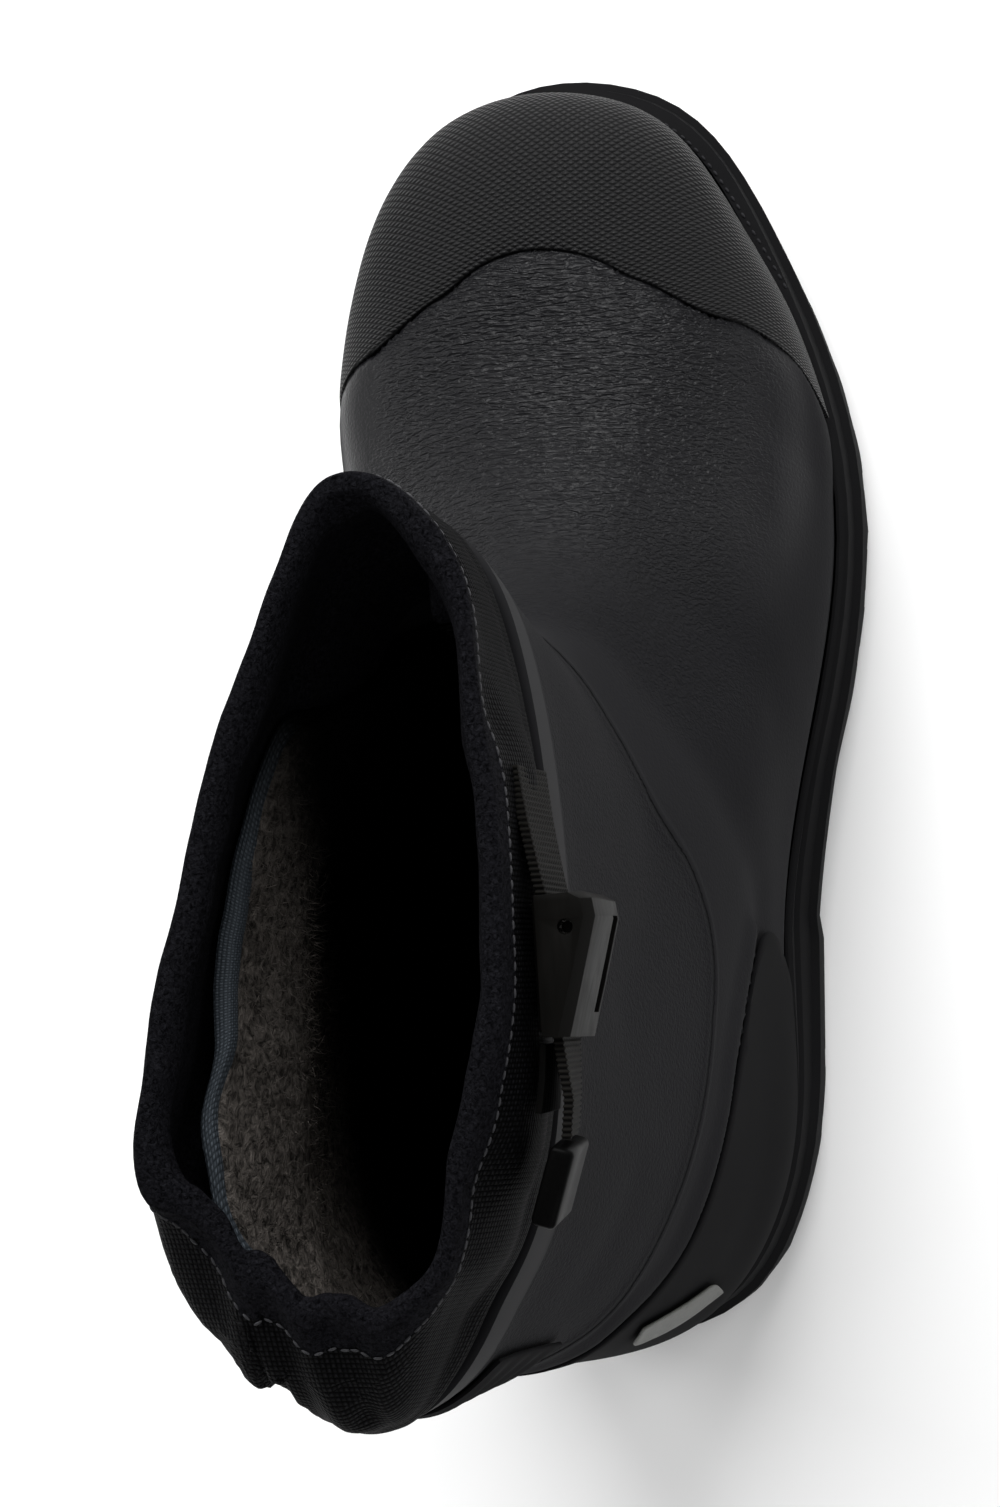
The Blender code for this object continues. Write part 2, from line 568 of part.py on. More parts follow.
def make_buckle(parts, cutters):
    seat = seat_empty("buckle seat", BUCKLE_Y, 0.0, 0.0, parts)
    lever = bent_sheet("buckle_lever", [(a, web, LEVER_LOW) for a, web in LEVER_FACE], LEVER_HALF, LEVER_FOLD, 0,
                       LEVER_SHEET, seat, parts)
    base = bent_sheet("buckle_base", [(a, BASE_OUT, lug) for a, lug in BASE_LUG], BASE_HALF, 0.9, 0,
                      BASE_SHEET, seat, parts)
    pin = cylinder("buckle_pin", PIN_RADIUS, 2 * LEVER_HALF + 0.6, *PIN_AT, seat, parts)
    pin.data.materials.append(material("dark metal"))
    shade_round(pin)
    hole = as_cutter(cylinder("pin hole", PIN_HOLE, 4 * LEVER_HALF, *PIN_AT, seat, cutters))
    bpy.ops.mesh.primitive_cube_add(size=1.0)
    window = bpy.context.object
    window.name = "lever window"
    (a0, a1), (u0, u1) = LEVER_WINDOW
    window.data.transform(Matrix.Diagonal(((a1 - a0) * MM, 20 * MM, (u1 - u0) * MM, 1.0)))
    window.parent = seat
    window.location = (((a0 + a1) / 2 - BUCKLE_LENGTH / 2) * MM, 14 * MM, (u0 + u1) / 2 * MM)
    as_cutter(move_to(window, cutters))
    for piece in (lever, base):
        cut(piece, hole)
    cut(lever, window)
    return lever, base, pin


def main():
    clear_scene()
    parts = new_collection("rubber boot")
    tread_cutters = new_collection("tread cutters")
    buckle_cutters = new_collection("buckle cutters")
    make_outsole(parts, tread_cutters)
    make_upper(parts)
    make_insole(parts)
    make_toe_cap(parts)
    make_heel_counter(parts)
    make_heel_ribs(parts)
    make_heel_reflector(parts)
    make_cuff(parts)
    make_strap(parts)
    make_buckle_anchor(parts)
    make_strap_tip(parts)
    make_buckle(parts, buckle_cutters)


main()
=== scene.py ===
"""Looks of the right rubber boot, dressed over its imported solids.

Metres, +X to the outer side, +Y to the toe, +Z up. Sizes in the tables are millimetres.
"""

import functools
import math

import bpy
import numpy as np
from mathutils import Matrix, Vector, noise
from mathutils.bvhtree import BVHTree


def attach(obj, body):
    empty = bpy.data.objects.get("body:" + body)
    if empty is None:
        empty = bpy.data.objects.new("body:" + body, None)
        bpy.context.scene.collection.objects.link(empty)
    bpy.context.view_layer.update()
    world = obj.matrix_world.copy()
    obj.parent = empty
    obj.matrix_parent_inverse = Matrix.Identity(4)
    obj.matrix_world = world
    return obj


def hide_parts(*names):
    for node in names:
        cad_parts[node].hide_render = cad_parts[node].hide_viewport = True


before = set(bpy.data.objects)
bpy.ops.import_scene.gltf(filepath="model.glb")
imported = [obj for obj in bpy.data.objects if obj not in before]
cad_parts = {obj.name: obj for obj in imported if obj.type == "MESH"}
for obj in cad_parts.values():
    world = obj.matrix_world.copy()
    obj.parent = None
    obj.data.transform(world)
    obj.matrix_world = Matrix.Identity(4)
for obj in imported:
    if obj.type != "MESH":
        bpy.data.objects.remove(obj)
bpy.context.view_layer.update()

MM = 0.001
FAR = 0.2  # metres from the middle to where a ray starts, outside the boot
SHAFT_AXIS = (2, 37)  # middle of the shaft, from above
TOE_MIDDLE = (-4, 185)  # middle of the toe, from above
# Middle of the hollow, from the collar to the toe
FOOT_AXIS = ((3, 40, 215), (2, 36, 125), (0, 46, 78), (-2, 100, 46), (-4, 215, 34))

# Patterns
KNURL_WIDTH, KNURL_ROW = 2.0, 0.6  # one lozenge of the toe guard's knurl, and from row to row
RIB_PITCH, RIB_HEIGHT = 0.98, 0.2  # ribs of the webbing
SEAM_HALF = 0.55  # half width of the line between vamp and shaft panel
WRINKLE, SPECKLE = 0.75, 0.8  # grain of the vamp and of the shaft
WEAVE = 0.9  # yarn to yarn of the cuff's weave, which is 0.7 and drawn coarser so that it shows
SHELL_GLOSS, COVER_GLOSS, KNURL_GLOSS = 0.1, 0.035, 0.12  # specular levels of the rubbers
PAINTED_SHADE_COLOUR = "#020202"  # painted shade: colour that pile and tape turn to deep in the boot, where shade falls

# Shell: the vamp's edge against the shaft panel, seen from the side, as places along the foot and heights
PANEL_PROFILE = (
    (-42.5, 145), (-40, 142), (-32.5, 135), (-20, 127.5), (-3.5, 119), (17, 110.5), (39, 105.5), (56, 110),
    (70.5, 122), (84.5, 129.5), (95.5, 137.5), (104.5, 152), (108, 155),
)
PANEL_MIDDLE, PANEL_TRIES = 130, 8  # where the search for that edge starts, and its steps
PANEL_RAYS, PANEL_PITCH = 900, 1.3  # rays round the shell, and from point to point that is kept
RIM_LOOK, RIM_AREA = 0.6, (1, 20)  # which faces are a guard's rim: how far they look its way, and their size
SEAM_LIPS = ((-1.2, 1.1, 0.35), (1.6, 1.0, 0.15))  # ridges along the edge: place, half width, height
CAP_RISE, COUNTER_RISE = (1.5, 22.0), (1.3, 9.0)  # how far the shell rises to a guard, and from how far off
RISE_EDGE, RISE_FULL = (0.5, 2.2), 3.0  # it falls off right at the guard, and is full out to here
# Where the vamp is smoothed: off its edges, along the foot, and in height
VAMP_CLEAR, VAMP_ALONG, VAMP_HEIGHTS = (4, 14), (60, 85), (34, 44)
# Where it is wrinkled: how level, from the inner side, to the outer side, and along the foot
WRINKLE_LEVEL, WRINKLE_INNER, WRINKLE_OUTER, WRINKLE_ALONG = (0.1, 0.45), (-50, -36), (32, 50), (78, 100)
POLISH_LEVEL, POLISH_ALONG = (0.15, 0.6), (100, 150)  # where it is rubbed smooth
RIM_BAND, SPECKLE_TOP = (191, 194), 192  # heights where the top's smooth band starts and the speckle ends
SPECKLE_LOW, SPECKLE_FADE = 0.25, (0.0, 1.5)  # share of it below the panel, and its change over the edge
DULL, POLISH, BAND_POLISH = 0.93, 0.69, 0.3  # roughness of the rubber, and how much less it is where smooth
# Soft creases of the shell: points along each, half width, depth (a ridge is below zero)
CREASES = (
    (((-38, 104, 66), (-20, 124, 84), (6, 128, 90), (30, 116, 80), (41, 96, 62)), 8.0, 1.3),
    (((-40, 122, 60), (-18, 140, 76), (8, 143, 79), (34, 132, 68)), 9.0, -0.9),
    (((-38, 142, 54), (-14, 156, 70), (12, 158, 71), (36, 148, 58)), 7.0, 0.7),
    (((24, 106, 108), (34, 92, 100), (41, 70, 84), (44, 52, 66)), 8.0, 1.2),
    (((37, 62, 126), (40, 46, 140), (39, 30, 158)), 9.0, 1.1),
    (((36, -8, 150), (30, -26, 160)), 9.0, 0.8),
    (((-24, 106, 104), (-34, 90, 98), (-39, 66, 84)), 8.0, 1.2),
)
TUCK, TUCK_SIDEWAYS = 4.0, 0.25  # how far the shaft's back is drawn in on the outer side, and share sideways
TUCK_ACROSS, TUCK_HEIGHTS, TUCK_BEHIND = (19, 13), (120, 185), (5, 30)  # middle and half width, heights, back
TOE_IN = 2.4  # how far the toe is drawn in above the sole's rim
TOE_IN_ALONG, TOE_IN_HEIGHTS = (185, 222), (36, 58)
# The knurl's wrap round the toe: radius, then place and height of the axis it is wrapped round
KNURL_ACROSS, KNURL_ALONG = (55, -4, -4), (62, 165, 2)
KNURL_BEND, KNURL_BEND_FROM = 0.006, 5  # how its rows bend back on the outer side

# Cuff: folds pressed in towards its middle, as points along each, half width, depth
CUFF_FOLDS = (
    (((-15.5, -25, 231), (-15, -36, 220), (-15, -40, 206)), 3.0, 7.0),
    (((-28, -11, 240), (-24, -22, 230), (-22, -30, 214)), 6.0, 2.6),
    (((-34, 6, 243), (-35, 4, 228)), 8.0, -2.2),
    (((-1, -24, 241), (-1, -31, 234), (1, -40, 221)), 2.4, 1.6),
    (((9, -24, 241), (9, -33, 232), (9, -40, 216)), 5.0, -0.9),
    (((20, -36, 238), (20, -38, 218), (21, -38, 203)), 11.0, 4.0),
    (((31, -4, 236), (32, -8, 222), (32, -10, 206)), 6.0, 1.4),
    (((-34, -2, 228), (-30, -17, 224), (-24, -29, 217)), 9.0, -3.4),
)
# Set of its brim: bearing round the shaft in degrees from the toe to the outer side, how far it stands out
BRIM_SET = (
    (-180, -4), (-174, -4.2), (-169, 0), (-164, -5.5), (-159, -11), (-154, -11.5), (-150, -9.8), (-145, -6.6),
    (-140, -2.9), (-130, 0.9), (-115, 1.7), (-100, 1.5), (-85, 0.7), (-60, -0.7), (-30, -0.9), (-22, -0.2),
    (-14, 1.8), (-6, 1.2), (0, 1.6), (6, 1), (11, 1), (15, 4), (20, 9), (25, 5), (32, 1.5), (40, -1),
    (46, -2.8), (52, -3), (60, -1.3), (90, -1.8), (100, -2), (110, -3), (120, -4.2), (145, -4.8), (151, -4.5),
    (157, -0.5), (163, 4), (169, 4.5), (175, 0.5),
)
BRIM_DEEP, BRIM_SOFT = 11.0, (-4, -2, 0, 2, 4)  # how far down the set reaches, and degrees it is mixed over
BRIM_ROLL, BRIM_ROLL_AT = 2.6, (5, 5)  # how far the brim swells inwards, and how far down: middle, half width
RIM_BULGE, RIM_BULGE_AT = 2.3, (4.5, 3.5)  # the same for the swelling over the rubber rim
INNER_FACE, FREE_ABOVE_RIM = (0.3, -0.3), (2, 12)  # where a face counts as inner, and where the cuff is free
NAP, NAP_SIZE = 0.35, 7  # height and size of its small unevenness
FACING = 5.0  # how far the fleece facing is folded over the brim
BRIM_STITCH, STITCH_SIZE, STITCH_LIFT = 2.3, (1.7, 0.3), 0.05  # stitch to stitch, length and radius, lift
STITCH_RAYS = 700  # rays round the brim that the stitches' line is felt with

# Dashes round the toe: from dash to dash, length and radius, and how far outside the toe guard they stand
RIM_DASH, RIM_DASH_SIZE, RIM_DASH_OUT = 2.4, (1.5, 0.4), 0.9
RIM_DASH_BEARINGS, RIM_DASH_STEP = (-70, 105), 0.25  # degrees from the toe's tip
RIM_DASH_HEIGHT, RIM_LOWEST = 37, 22  # height where the guard is felt for, and the rim's lowest
RIM_ABOVE = 20  # how far above that place a ray starts down to the rim

# Liner
LINER_FOOT, LINER_ROWS = 45, 40  # height where it starts, and rows of its mesh
LINER_DROP = 16  # how far its top is below the brim at the back
LINER_SLOPE, LINER_LEVEL = 0.2, 8  # how its edge falls towards the front, and up to where it is level
LINER_FELT, WALL_FAR = 200, 74.0  # height where the wall is felt for the slope, and its distance if missed
LINER_SLACK = 45  # how much lower it hangs at the front and on the outer side
SLACK_START, SLACK_END = (-0.36, -0.04), (2.3, 2.9)  # bearings of that stretch, in radians
LINER_GAP, LINER_WALL = 1.2, 3.0  # its distance to what is round it, and its thickness
LINER_POCKET, POCKET_HEIGHTS = 7.5, (150, 210)  # how far it stands off the cuff at one place
POCKET_AT = (-2.52, 0.6)  # bearing and half width of that place, in radians
LINER_LUMP, LINER_LUMPS = 0.8, ((11, 1.0), (4, 0.6), (1.9, 0.35))  # height, and sizes with their shares
# Section of its tape: distance in from the liner's outer face, and height over its top edge
TAPE_SECTION = (
    (-0.4, -7.0), (-0.5, -3.0), (-0.2, 0.3), (0.7, 0.9), (2.5, 0.9), (3.5, 0.3), (3.7, -1.6), (3.6, -3.6),
)
TAPE_THICK, TAPE_RADIUS = 0.5, 45
TUBE_SIDES, TUBE_RADIUS = 96, 40  # the plain tube that liner and tape are shaped from
SHADE_LOW, SHADE_CLIMB, SHADE_ALONG = 168, 88, (5, 95)  # top of the painted shade on the pile at the back, and how it climbs towards the front
# over how many millimetres the painted shade fades in
SHADE_BLEND = 42
HAIR_COUNT, HAIR_HEIGHTS = 14000, (110, 220)  # hairs of the pile that are drawn, and where
HAIR_LOOK = -2.0  # the liner's faces turned this far to the hollow have hairs
HAIR_SPREAD, HAIR_LEAN, HAIR_BEND, HAIR_LENGTH = 0.8, 0.9, 0.6, (0.9, 2.2)
HAIR_RINGS = ((-0.15, 0.09), (0.5, 0.075))  # share of the length, and radius
HAIR_CORNERS = (0, 2.1, 4.2)  # angles round a hair, in radians

# Buckle
PIVOT_SHORT = 0.86  # the pivot ends below the face of its hole
BUCKLE_BEVEL = 0.25

# Lights, in metres and watts: name, place, what it is turned to, size, power. The first four shape the vamp
# from above, and the low panels only give the walls a sheen when seen from the side
WORLD_STRENGTH = 0.33
FOREFOOT, HEEL, SHAFT = (0, 0.14, 0.06), (0, 0.0, 0.06), (0, 0.05, 0.12)
LIGHTS = (
    ("toe side softbox", (-0.1, 1.45, 1.35), FOREFOOT, (1.6, 0.75), 48),
    ("inner side softbox", (-1.5, 0.9, 0.95), FOREFOOT, (0.85, 0.6), 11),
    ("outer side softbox", (1.45, 1.05, 0.9), FOREFOOT, (0.7, 0.5), 6),
    ("heel side softbox", (0.8, -1.3, 1.4), HEEL, (1.4, 1.0), 6),
    ("outer low panel", (2.0, -0.2, 0.5), SHAFT, (1.3, 0.7), 7),
    ("inner low panel", (-2.0, -0.1, 0.5), SHAFT, (1.3, 0.7), 7),
    ("heel low panel", (0.3, -2.0, 0.5), SHAFT, (1.3, 0.7), 7),
    ("toe low panel", (0.2, 2.1, 0.5), SHAFT, (1.3, 0.7), 7),
)
# Camera, in metres, degrees and millimetres
CAMERA_PLACE, CAMERA_AIM, CAMERA_ROLL = (0.1872, 0.0298, 0.7877), (-0.00635, 0.08387, 0.1), -76.063
CAMERA_LENS, CAMERA_SENSOR = 80.27, 36


# Modelling helpers

def linear(hex_colour):
    """An sRGB hex colour as linear RGBA."""
    parts = [int(hex_colour[i:i + 2], 16) / 255 for i in (1, 3, 5)]
    return (*[p / 12.92 if p <= 0.04045 else ((p + 0.055) / 1.055) ** 2.4 for p in parts], 1.0)


def only(piece):
    """Makes a piece the only selected and active object."""
    bpy.ops.object.select_all(action="DESELECT")
    piece.select_set(True)
    bpy.context.view_layer.objects.active = piece


def edit(piece, select="DESELECT"):
    """Opens a piece in edit mode with nothing or everything selected."""
    only(piece)
    bpy.ops.object.mode_set(mode="EDIT")
    bpy.ops.mesh.select_all(action=select)


def select_only(piece, kind, chosen):
    """Opens a piece in edit mode with only these edges or polygons selected."""
    only(piece)
    bpy.context.tool_settings.mesh_select_mode = (False, kind == "edges", kind == "polygons")
    for part in ("vertices", "edges", "polygons"):
        parts = getattr(piece.data, part)
        parts.foreach_set("select", np.asarray(chosen, bool) if part == kind else np.zeros(len(parts), bool))
    bpy.ops.object.mode_set(mode="EDIT")


def done():
    bpy.ops.object.mode_set(mode="OBJECT")


def copy_of(node, name):
    """A copy of a CAD node's mesh, merged and turned back into quads."""
    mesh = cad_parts[node].data.copy()
    mesh.name = name
    mesh.materials.clear()
    piece = bpy.data.objects.new(name, mesh)
    bpy.context.scene.collection.objects.link(piece)
    edit(piece)
    bpy.ops.mesh.customdata_custom_splitnormals_clear()
    bpy.ops.mesh.select_all(action="SELECT")
    bpy.ops.mesh.remove_doubles(threshold=0.01 * MM)
    bpy.ops.mesh.tris_convert_to_quads(face_threshold=math.radians(50), shape_threshold=math.radians(70))
    done()
    return piece


def built(name, points, faces):
    """A new piece of these points, in millimetres, and faces."""
    mesh = bpy.data.meshes.new(name)
    mesh.from_pydata([tuple(p) for p in np.array(points) * MM], [], faces)
    piece = bpy.data.objects.new(name, mesh)
    bpy.context.scene.collection.objects.link(piece)
    smooth(piece, 80)
    return piece


def apply(piece, kind, **settings):
    """Adds a modifier and applies it."""
    only(piece)
    modifier = piece.modifiers.new(kind.lower(), kind)
    for name, value in settings.items():
        setattr(modifier, name, value)
    bpy.ops.object.modifier_apply(modifier=modifier.name)


def smooth(piece, degrees):
    only(piece)
    bpy.ops.object.shade_smooth_by_angle(angle=math.radians(degrees))


def refine(piece, levels, crease_over=55, crease=0.85):
    """Rounds a piece by subdivision and keeps its sharp edges."""
    edit(piece)
    bpy.ops.mesh.select_mode(type="EDGE")
    bpy.ops.mesh.edges_select_sharp(sharpness=math.radians(crease_over))
    bpy.ops.transform.edge_crease(value=crease)
    done()
    apply(piece, "SUBSURF", levels=levels, render_levels=levels)


def points_of(piece):
    co = np.empty(len(piece.data.vertices) * 3)
    piece.data.vertices.foreach_get("co", co)
    return co.reshape(-1, 3) / MM


def normals_of(piece):
    normals = np.empty(len(piece.data.vertices) * 3)
    piece.data.vertex_normals.foreach_get("vector", normals)
    return normals.reshape(-1, 3)


def face_values(piece, name):
    values = np.empty(len(piece.data.polygons) * 3)
    piece.data.polygons.foreach_get(name, values)
    return values.reshape(-1, 3)


def put_points(piece, points):
    piece.data.vertices.foreach_set("co", (points * MM).ravel())
    piece.data.update()


def store(piece, name, values):
    """A number on each point, for a material to read."""
    layer = piece.data.attributes.new(name, "FLOAT", "POINT")
    layer.data.foreach_set("value", np.asarray(values, np.float32))


def dot(one, other):
    return np.einsum("ij,ij->i", one, other)


def smooth_step(value, low, high):
    share = np.clip((np.asarray(value, float) - low) / (high - low), 0, 1)
    return share * share * (3 - 2 * share)


def hump(value, middle, half):
    """One at the middle, and falling off softly to both sides."""
    return np.exp(-(((value - middle) / half) ** 2))


def smooth_line(points, per_span):
    """More points on a soft curve through the given ones."""
    points = np.asarray(points, float)
    last = len(points) - 1
    drawn = []
    for i in range(last):
        before, start, end, after = (points[min(max(i + k, 0), last)] for k in (-1, 0, 1, 2))
        for t in np.arange(per_span) / per_span:
            drawn.append(0.5 * (2 * start + (end - before) * t
                                + (2 * before - 5 * start + 4 * end - after) * t**2
                                + (3 * start - before - 3 * end + after) * t**3))
    return np.array([*drawn, points[-1]])


def run_along(points):
    """Length along a line of points, up to each of them."""
    return np.concatenate([[0], np.cumsum(np.linalg.norm(np.diff(points, axis=0), axis=1))])


def spaced(line, start, end, pitch):
    """Indexes of a line's points a pitch apart, from a start to this far before its end."""
    run = run_along(line)
    return np.searchsorted(run, np.arange(start, run[-1] - end, pitch)).clip(1, len(run) - 2)


def nearest(points, line):
    """Distance from each point to a line of points, and the index of the nearest one."""
    best = np.full(len(points), np.inf)
    index = np.zeros(len(points), int)
    for i, p in enumerate(line):
        away = np.linalg.norm(points - p, axis=1)
        closer = away < best
        best[closer], index[closer] = away[closer], i
    return best, index


def outward(points):
    """Directions away from the middle of the hollow."""
    axis = smooth_line(FOOT_AXIS, 16)
    _, index = nearest(points, axis)
    return points - axis[index]


def from_shaft(points):
    """Level directions away from the shaft's axis."""
    away = points - (*SHAFT_AXIS, 0)
    away[:, 2] = 0
    return away / np.linalg.norm(away, axis=1)[:, None]


def bearings_of(points):
    """Bearings round the shaft, in radians from the toe to the outer side."""
    return np.arctan2(points[:, 0] - SHAFT_AXIS[0], points[:, 1] - SHAFT_AXIS[1])


def inwards(bearing):
    """The level direction back to the middle from a bearing."""
    return Vector((-math.sin(bearing), -math.cos(bearing), 0))


def tree_of(mesh):
    """A mesh to cast rays at, also when its object is hidden."""
    return BVHTree.FromPolygons([v.co for v in mesh.vertices], [tuple(f.vertices) for f in mesh.polygons])


def refine_near(piece, lines, reach, cuts):
    """Cuts the outer faces near some lines smaller."""
    centres = face_values(piece, "center") / MM
    near = np.min([nearest(centres, line)[0] for line in lines], axis=0) < reach
    near &= dot(face_values(piece, "normal"), outward(centres)) > 0
    select_only(piece, "polygons", near)
    bpy.ops.mesh.subdivide(number_cuts=cuts)
    done()


# Materials

def add(tree, kind, inputs=(), out=0, **settings):
    """Adds a node and gives one of its outputs: an input is a value, or the output that feeds it."""
    node = tree.nodes.new("ShaderNode" + kind)
    for name, value in settings.items():
        setattr(node, name, value)
    for socket, value in dict(inputs).items():
        if isinstance(value, bpy.types.NodeSocket):
            tree.links.new(value, node.inputs[socket])
        else:
            node.inputs[socket].default_value = value
    return node.outputs[out]


def new_material(name, **sockets):
    """A material whose shader has these values the same all over."""
    made = bpy.data.materials.new(name)
    made.use_nodes = True
    shader = made.node_tree.nodes["Principled BSDF"]
    for socket, value in sockets.items():
        shader.inputs[socket.replace("_", " ")].default_value = value
    return made, made.node_tree, shader


def feed(tree, shader, **sources):
    """Links a pattern's outputs into the shader."""
    for socket, source in sources.items():
        tree.links.new(source, shader.inputs[socket.replace("_", " ")])


def per_mm(size_mm):
    """Texture scale, in repeats per metre, of a pattern with this spacing."""
    return 1.0 / (size_mm * MM)


def darkened(tree, before_inner_shade):
    """A colour with painted shade: it turns dark deep in the boot, where shade falls."""
    painted_shade = add(tree, "Attribute", out="Fac", attribute_name="painted_shade")
    # painted shade: the colour is mixed towards near black where the stored share of shade is high
    return add(tree, "Mix", {0: painted_shade, 6: before_inner_shade, 7: linear(PAINTED_SHADE_COLOUR)}, 2, data_type="RGBA")


def crossed_waves(tree, one, other):
    """Domes where two runs of waves cross, each given as an angle."""
    waves = [add(tree, "Math", {0: add(tree, "Math", {0: run}, operation="SINE")}, operation="ABSOLUTE")
             for run in (one, other)]
    return add(tree, "Math", {0: waves[0], 1: waves[1]}, operation="MULTIPLY")


def shell_rubber():
    """Moulded rubber: almost black, a soft waxy sheen, wrinkles on the vamp, fine speckle on the shaft."""
    made, tree, shader = new_material("moulded shell rubber", IOR=1.52, Specular_IOR_Level=SHELL_GLOSS)
    place = add(tree, "TexCoord", out="Object")
    across = add(tree, "Mapping", {"Vector": place, "Scale": (0.22, 1.0, 0.9)})
    wrinkle = add(tree, "TexNoise", {"Vector": across, "Scale": per_mm(WRINKLE), "Detail": 1.5,
                                     "Roughness": 0.45, "Distortion": 0.7})
    ridges = add(tree, "MapRange", {"Value": wrinkle, "From Min": 0.28, "From Max": 0.72},
                 interpolation_type="SMOOTHSTEP")
    speckle = add(tree, "TexNoise", {"Vector": place, "Scale": per_mm(SPECKLE), "Detail": 2.0})
    vamp, shaft, dull, seam = (add(tree, "Attribute", out="Fac", attribute_name=name)
                               for name in ("wrinkled", "speckled", "dull", "seam"))
    grain = add(tree, "Math", {0: ridges, 1: vamp}, operation="MULTIPLY")
    fine = add(tree, "Math", {0: speckle, 1: shaft}, operation="MULTIPLY")
    grains = add(tree, "Math", {0: fine, 1: 1.3, 2: grain}, operation="MULTIPLY_ADD")
    off_seam = add(tree, "Math", {0: seam}, operation="ABSOLUTE")
    groove = add(tree, "MapRange", {"Value": off_seam, "From Max": SEAM_HALF, "To Min": -3.6, "To Max": 0.0},
                 interpolation_type="SMOOTHSTEP")
    height = add(tree, "Math", {0: grains, 1: groove}, operation="ADD")
    cloud = add(tree, "TexNoise", {"Vector": place, "Scale": per_mm(45), "Detail": 3.0})
    colour = add(tree, "Mix", {0: cloud, 6: linear("#0f0f11"), 7: linear("#151517")}, 2, data_type="RGBA")
    feed(tree, shader, Base_Color=colour,
         Roughness=add(tree, "Math", {0: cloud, 1: 0.1, 2: dull}, operation="MULTIPLY_ADD"),
         Normal=add(tree, "Bump", {"Height": height, "Strength": 1.0, "Distance": 0.38 * MM}))
    return made


def knurled_rubber():
    """Moulded rubber with a diamond knurl, drawn along the piece's own UV map."""
    made, tree, shader = new_material("knurled cover rubber", IOR=1.52, Specular_IOR_Level=KNURL_GLOSS)
    place = add(tree, "UVMap", uv_map="UVMap")
    across, along = (add(tree, "SeparateXYZ", {0: place}, axis) for axis in (0, 1))
    turned = add(tree, "Math", {0: across, 1: math.pi * per_mm(KNURL_WIDTH)}, operation="MULTIPLY")
    runs = [add(tree, "Math", {0: along, 1: lean * math.pi * per_mm(2 * KNURL_ROW), 2: turned},
                operation="MULTIPLY_ADD") for lean in (1, -1)]
    height = add(tree, "Math", {0: crossed_waves(tree, *runs), 1: 0.65}, operation="POWER")
    cloud = add(tree, "TexNoise", {"Vector": place, "Scale": per_mm(30), "Detail": 3.0})
    colour = add(tree, "Mix", {0: cloud, 6: linear("#0d0d0e"), 7: linear("#141415")}, 2, data_type="RGBA")
    feed(tree, shader, Base_Color=colour,
         Roughness=add(tree, "MapRange", {"Value": height, "To Min": 0.85, "To Max": 0.28}),
         Normal=add(tree, "Bump", {"Height": height, "Strength": 1.0, "Distance": 0.5 * MM}))
    return made


def plain_rubber(name, dark, light, rough, grain_mm):
    """Moulded rubber left as it came from a smooth mould: fine haze and faint flow clouds."""
    made, tree, shader = new_material(name, IOR=1.52, Specular_IOR_Level=COVER_GLOSS)
    place = add(tree, "TexCoord", out="Object")
    grain = add(tree, "TexNoise", {"Vector": place, "Scale": per_mm(grain_mm), "Detail": 3.0})
    cloud = add(tree, "TexNoise", {"Vector": place, "Scale": per_mm(25), "Detail": 3.0})
    feed(tree, shader,
         Base_Color=add(tree, "Mix", {0: cloud, 6: linear(dark), 7: linear(light)}, 2, data_type="RGBA"),
         Roughness=add(tree, "MapRange", {"Value": cloud, "To Min": rough - 0.06, "To Max": rough + 0.06}),
         Normal=add(tree, "Bump", {"Height": grain, "Strength": 0.3, "Distance": 0.1 * MM}))
    return made


def weave(name, pitch_mm, dark, light, depth_mm, gloss):
    """Plain weave of coarse yarn along the piece's own UV map: each float stands up and catches the light,
    with painted highlight on its top and painted shade between floats.
    """
    made, tree, shader = new_material(name, Roughness=0.55, Specular_IOR_Level=gloss)
    place = add(tree, "UVMap", uv_map="UVMap")
    checks = add(tree, "TexChecker", {"Vector": place, "Scale": per_mm(pitch_mm)}, "Fac")
    runs = [add(tree, "Math", {0: add(tree, "SeparateXYZ", {0: place}, axis), 1: math.pi * per_mm(pitch_mm)},
                operation="MULTIPLY") for axis in (0, 1)]
    float_height = add(tree, "MapRange", {"Value": checks, "To Min": 0.45, "To Max": 1.0})
    bulge = add(tree, "Math", {0: crossed_waves(tree, *runs), 1: float_height}, operation="MULTIPLY")
    # painted highlight and shade: the colour is lighter on the floats' tops and darker between them,
    # following the bump's height
    before_inner_shade = add(tree, "Mix", {0: bulge, 6: linear(dark), 7: linear(light)}, 2, data_type="RGBA")
    feed(tree, shader, Base_Color=darkened(tree, before_inner_shade),
         Normal=add(tree, "Bump", {"Height": bulge, "Strength": 1.0, "Distance": depth_mm * MM}))
    return made


def pile(name, dark, light, curl_mm, depth_mm):
    """Brushed pile: short soft hairs in small tufts, dull all over, with painted shade between the tufts."""
    made, tree, shader = new_material(name, Roughness=1.0, Specular_IOR_Level=0.03)
    place = add(tree, "TexCoord", out="Object")
    tufts = add(tree, "TexNoise", {"Vector": place, "Scale": per_mm(curl_mm), "Detail": 4.0,
                                   "Roughness": 0.7, "Distortion": 0.8})
    share = add(tree, "MapRange", {"Value": tufts, "From Min": 0.36, "From Max": 0.7})
    # painted shade: the colour is darker where the tufts' bump is low, between the tufts
    before_inner_shade = add(tree, "Mix", {0: share, 6: linear(dark), 7: linear(light)}, 2, data_type="RGBA")
    feed(tree, shader, Base_Color=darkened(tree, before_inner_shade),
         Normal=add(tree, "Bump", {"Height": tufts, "Strength": 1.0, "Distance": depth_mm * MM}))
    return made


